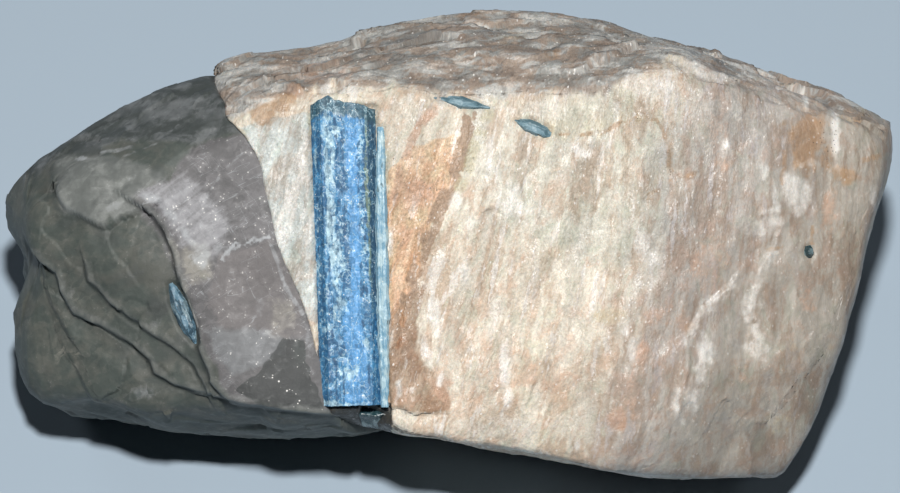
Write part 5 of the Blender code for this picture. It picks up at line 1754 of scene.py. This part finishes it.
def aquamarine_finish():
    """A mosaic of blue flakes with pale borders, under bands of deep, bright, olive and milky, with painted
    shade on the dark blue right bevel and on the rim under the head.
    """
    look = Look("aquamarine")
    lay = look.place("lay")
    wander = look.bent(lay, 0.8, 0.5)
    grain = look.noise(lay, (0.22, 0.3, 0.3), 2.0, 0.6)
    fine = look.noise(lay, (0.45, 0.8, 0.6), 3.0, 0.6, 0.4)
    fibres = look.noise(lay, (0.28, 5.0, 0.4), 3.0, 0.6, 0.3)
    flakes_seen = look.cell_value(wander, AQUA_FLAKES)
    borders = look.borders(wander, AQUA_FLAKES)
    cracks_seen = look.borders(look.bent(lay, 1.5, 1.2), (1.5, 1.1, 1.2))
    ragged = (fine - 0.5) * 0.9 + (fibres - 0.5) * 0.6 + (flakes_seen - 0.5) * 0.35
    body = fibres + (fine - 0.5) * 0.6 + (flakes_seen - 0.5) * 0.25
    look.colour = look.blend(body.rise(0.30, 0.62), AQUA_DEEP, AQUA)
    for layer in AQUA_LAYERS:
        look.over(ragged, *layer)
    pale_edges = (0.07 - borders).rise(0.0, 0.06) * (fine + (fibres - 0.5)).rise(0.5, 0.62)
    look.mix(pale_edges * 0.5, AQUA_MILK)
    pale_cracks = (0.035 - cracks_seen).rise(0.0, 0.03) * fine.rise(0.42, 0.54)
    look.mix(pale_cracks * 0.65, AQUA_MILK)
    glints = look.cells(lay, (0.4, 0.4, 0.4))
    look.mix((0.26 - glints).rise(0.0, 0.12) * fine.rise(0.54, 0.62) * 0.9, PALE)
    tall = look.noise(wander, (0.5, 2.4, 0.6), 3.0, 0.6, 0.3)
    light = 1.06 + (grain - 0.5) * 1.0 + (fine - 0.5) * 0.8 + (flakes_seen - 0.5) * 0.3 + (tall - 0.5) * 0.8
    look.mix(1.0, light, "MULTIPLY")
    return look.finish(
        Base_Color=look.colour,
        Roughness=0.68 - (flakes_seen + (fine - 0.5)).rise(0.4, 0.9) * 0.22,
        Normal=look.bump(fine * 0.5 + fibres * 0.4 + flakes_seen * 0.15, 0.4, 0.00014),
        **BERYL_GLOSS,
    )


aquamarine_look = aquamarine_finish()
add_piece("aquamarine_prism_body", prism_mesh, "aquamarine_prism", aquamarine_look)

# %% [markdown]
# ## The smaller beryls
# They are the same kind of crystal at other sizes, so one loop builds them all. What changes is a row of
# numbers: how finely the section is walked, how many rows there are, and how strong the lines are.

# %% Pale and dark beryl
BERYL_PALE = (0.42, 0.60, 0.68)
BERYL_SKY = (0.19, 0.38, 0.52)
BERYL_MILK = (0.50, 0.66, 0.70)
BERYL_SLATE = (0.18, 0.30, 0.36)
BERYL_DEEP_SLATE = (0.08, 0.16, 0.20)
BERYL_STEEL = (0.13, 0.24, 0.32)
BERYL_DEEP_STEEL = (0.04, 0.085, 0.12)
BERYL_DARK = (0.02, 0.05, 0.06)
BERYL_TEAL = (0.018, 0.05, 0.058)


def beryl_finish(name, body, shade, glints, roughness):
    """Body and shade streaked along the axis, with pale glints."""
    look = Look(name)
    lay = look.place("lay")
    fine = look.noise(lay, (0.2, 0.3, 0.3), 3.0, 0.65)
    fibres = look.noise(lay, (0.16, 2.2, 0.3), 3.0, 0.6, 0.3)
    blocks = look.cell_value(look.bent(lay, 1.0, 0.7), (0.6, 1.7, 0.8))
    mixed = fibres + (fine - 0.5) * 0.8 + (blocks - 0.5) * 0.45
    look.colour = look.blend(mixed.rise(0.35, 0.65), shade, body)
    patches = look.mask("milky") + (fine - 0.5) * 1.4 + (fibres - 0.5)
    look.mix(patches.rise(0.3, 1.2) * glints, BERYL_MILK)
    look.mix((look.mask("deep") + (fine - 0.5)).rise(0.4, 0.8) * 0.6, BERYL_DARK)
    points = look.cells(lay, (0.4, 0.5, 0.5))
    look.mix((0.2 - points).rise(0.0, 0.1) * fine.rise(0.5, 0.6) * glints, PALE)
    return look.finish(
        Base_Color=look.colour,
        Roughness=roughness - fine.rise(0.45, 0.7) * 0.12,
        Normal=look.bump(fine * 0.6 + fibres * 0.5, 0.4, 0.00012),
        **BERYL_GLOSS,
    )


pale_look = beryl_finish("pale_aquamarine", BERYL_PALE, BERYL_SKY, 0.9, 0.5)
spindle_look = beryl_finish("spindle_aquamarine", BERYL_SLATE, BERYL_DEEP_SLATE, 0.25, 0.56)
wedge_look = beryl_finish("wedge_aquamarine", BERYL_STEEL, BERYL_DEEP_STEEL, 0.4, 0.52)
dark_look = beryl_finish("dark_beryl", BERYL_TEAL, BERYL_DARK, 0.35, 0.3)
print("finishes of the small beryls:", pale_look.name, spindle_look.name, wedge_look.name, dark_look.name)

# %% Build the smaller beryls
SMALL_BERYLS = (  # piece, node, slot, finish, crystal, spacing, rows, strength of the lines
    ("sliver_body", "pale_aquamarine_sliver", "pale_aquamarine", pale_look, SLIVER, 0.1, 300, 0.06),
    ("stub_body", "aquamarine_stub", "dark_beryl", dark_look, STUB, 0.1, 40, 0.06),
    ("spindle_by_ridge_body", "aquamarine_spindle_by_ridge", "pale_aquamarine", spindle_look,
     SPINDLE_BY_RIDGE, 0.08, 90, 0.05),
    ("spindle_on_face_body", "aquamarine_spindle_on_face", "pale_aquamarine", spindle_look,
     SPINDLE_ON_FACE, 0.08, 90, 0.05),
    ("grain_body", "beryl_grain", "dark_beryl", dark_look, GRAIN, 0.08, 30, 0.05),
    ("wedge_body", "aquamarine_wedge_in_quartz", "pale_aquamarine", wedge_look, WEDGE, 0.08, 110, 0.07),
)
SMALL_END_ROWS = 6


def square_end(sideways, share):
    """No shift along the axis at either end."""
    return np.zeros_like(sideways)


for name, node, slot, finish, crystal, spacing, rows, lines in SMALL_BERYLS:
    smooth, out, side, lay = crystal_grid(crystal, spacing, rows, SMALL_END_ROWS, square_end)
    flat = lay.reshape(-1, 3)
    bulges = wave(flat, (9.0, 2.6, 9.0), 3.0 * lines, 87) + wave(flat, (1.5, 1.1, 1.5), 1.6 * lines, 88)
    relief = striae(lay, lines, 1.5 * lines) + bulges.reshape(side.shape)
    rough = smooth + (relief * side)[..., None] * out
    milky = eased_step(wave(flat, (0.5, 1.6, 0.5), 1.0, 81) + wave(flat, 3.0, 0.6, 82), 0.0, 0.7)
    deep = eased_step(wave(flat, (0.4, 0.9, 0.4), 1.0, 83) + wave(flat, 4.0, 0.5, 84), 0.5, 0.8)
    mesh = closed_mesh(
        name + "_skin", to_stone(rough.reshape(-1, 3)), *rough.shape[:2],
        {"milky": milky, "deep": deep}, {"lay": flat},
    )
    add_piece(name, mesh, node, finish)
    print(name, "volume in cubic millimetres:", round(volume(mesh), 1))

# %% [markdown]
# ## Floor, light and camera
# The stone lies on a plain pale floor. The main light is a soft disc close to the camera and a little
# above it, so the shadow is short and falls just below the stone. Two weak lamps light the stone's back,
# and a faint dome of light fills the rest.

# %% Floor
FLOOR_HALF = 1.5
FLOOR_BLUE = (0.345, 0.425, 0.505)
FLOOR_PALE = (0.365, 0.445, 0.525)
FLOOR_ROUGHNESS = 0.85
floor_mesh = bpy.data.meshes.new("floor")
floor_corners = [(-1, -1), (1, -1), (1, 1), (-1, 1)]
floor_mesh.from_pydata([(x * FLOOR_HALF, y * FLOOR_HALF, 0) for x, y in floor_corners], [], [(0, 1, 2, 3)])
floor = bpy.data.objects.new("floor", floor_mesh)
bpy.context.scene.collection.objects.link(floor)
floor_look = Look("pale_floor")
floor_place = floor_look.node("ShaderNodeTexCoord", {}, {}, "Object")
floor_grain = floor_look.noise(floor_place, (1.0, 1.0, 1.0), 2.0, 0.5)
floor_colour = floor_look.blend(floor_grain, FLOOR_BLUE, FLOOR_PALE)
floor_mesh.materials.append(floor_look.finish(Base_Color=floor_colour, Roughness=FLOOR_ROUGHNESS))
print("floor is", 2 * FLOOR_HALF, "m wide")

# %% Camera
VIEW_DISTANCE = 700.0  # millimetres
SENSOR_WIDTH = 36.0
PICTURE_WIDTH = 112.5  # millimetres of the face plane that fit across the picture


def look_from(obj, spot):
    """Put an object at a spot of the face frame, looking back at the frame's origin."""
    place = to_stone(np.array([spot], float))[0]
    towards = FACE_ORIGIN - place
    towards /= np.linalg.norm(towards)
    up = FACE_AXES[1] - towards * (FACE_AXES[1] @ towards)
    up /= np.linalg.norm(up)
    right = np.cross(towards, up)
    turn = np.stack([right, up, -towards], 1)
    obj.matrix_world = Matrix.LocRotScale(Vector(place * MM), Matrix(turn.tolist()), None)


camera_data = bpy.data.cameras.new("camera")
camera_data.sensor_width = SENSOR_WIDTH
camera_data.lens = SENSOR_WIDTH * VIEW_DISTANCE / PICTURE_WIDTH
camera = bpy.data.objects.new("camera", camera_data)
bpy.context.scene.collection.objects.link(camera)
look_from(camera, (0, 0, VIEW_DISTANCE))
bpy.context.scene.camera = camera
print("lens", camera_data.lens, "mm, camera at", [round(value, 3) for value in camera.location])

# %% Lights
LIGHTS = (  # name, spot in the face frame, diameter, power in watts, colour
    ("key", (7, 170, 671), 40.0, 5.75, (1.0, 0.99, 0.97)),
    ("back_left", (-420, 560, 20), 260.0, 0.4, (0.92, 0.96, 1.0)),
    ("back_right", (460, 520, -60), 260.0, 0.4, (0.92, 0.96, 1.0)),
)
for name, spot, diameter, power, tint in LIGHTS:
    lamp = bpy.data.lights.new(name, "AREA")
    lamp.shape = "DISK"
    lamp.size = diameter * MM
    lamp.energy = power
    lamp.color = tint
    light = bpy.data.objects.new(name, lamp)
    bpy.context.scene.collection.objects.link(light)
    look_from(light, spot)
    print(f"{name}: {power} W")

DOME_COLOUR = (0.62, 0.72, 0.85, 1.0)
DOME_STRENGTH = 0.006
world = bpy.data.worlds.new("studio")
bpy.context.scene.world = world
world.use_nodes = True
dome = world.node_tree.nodes["Background"]
dome.inputs["Color"].default_value = DOME_COLOUR
dome.inputs["Strength"].default_value = DOME_STRENGTH
bpy.context.scene.view_settings.view_transform = "Standard"
bpy.context.scene.view_settings.look = "None"
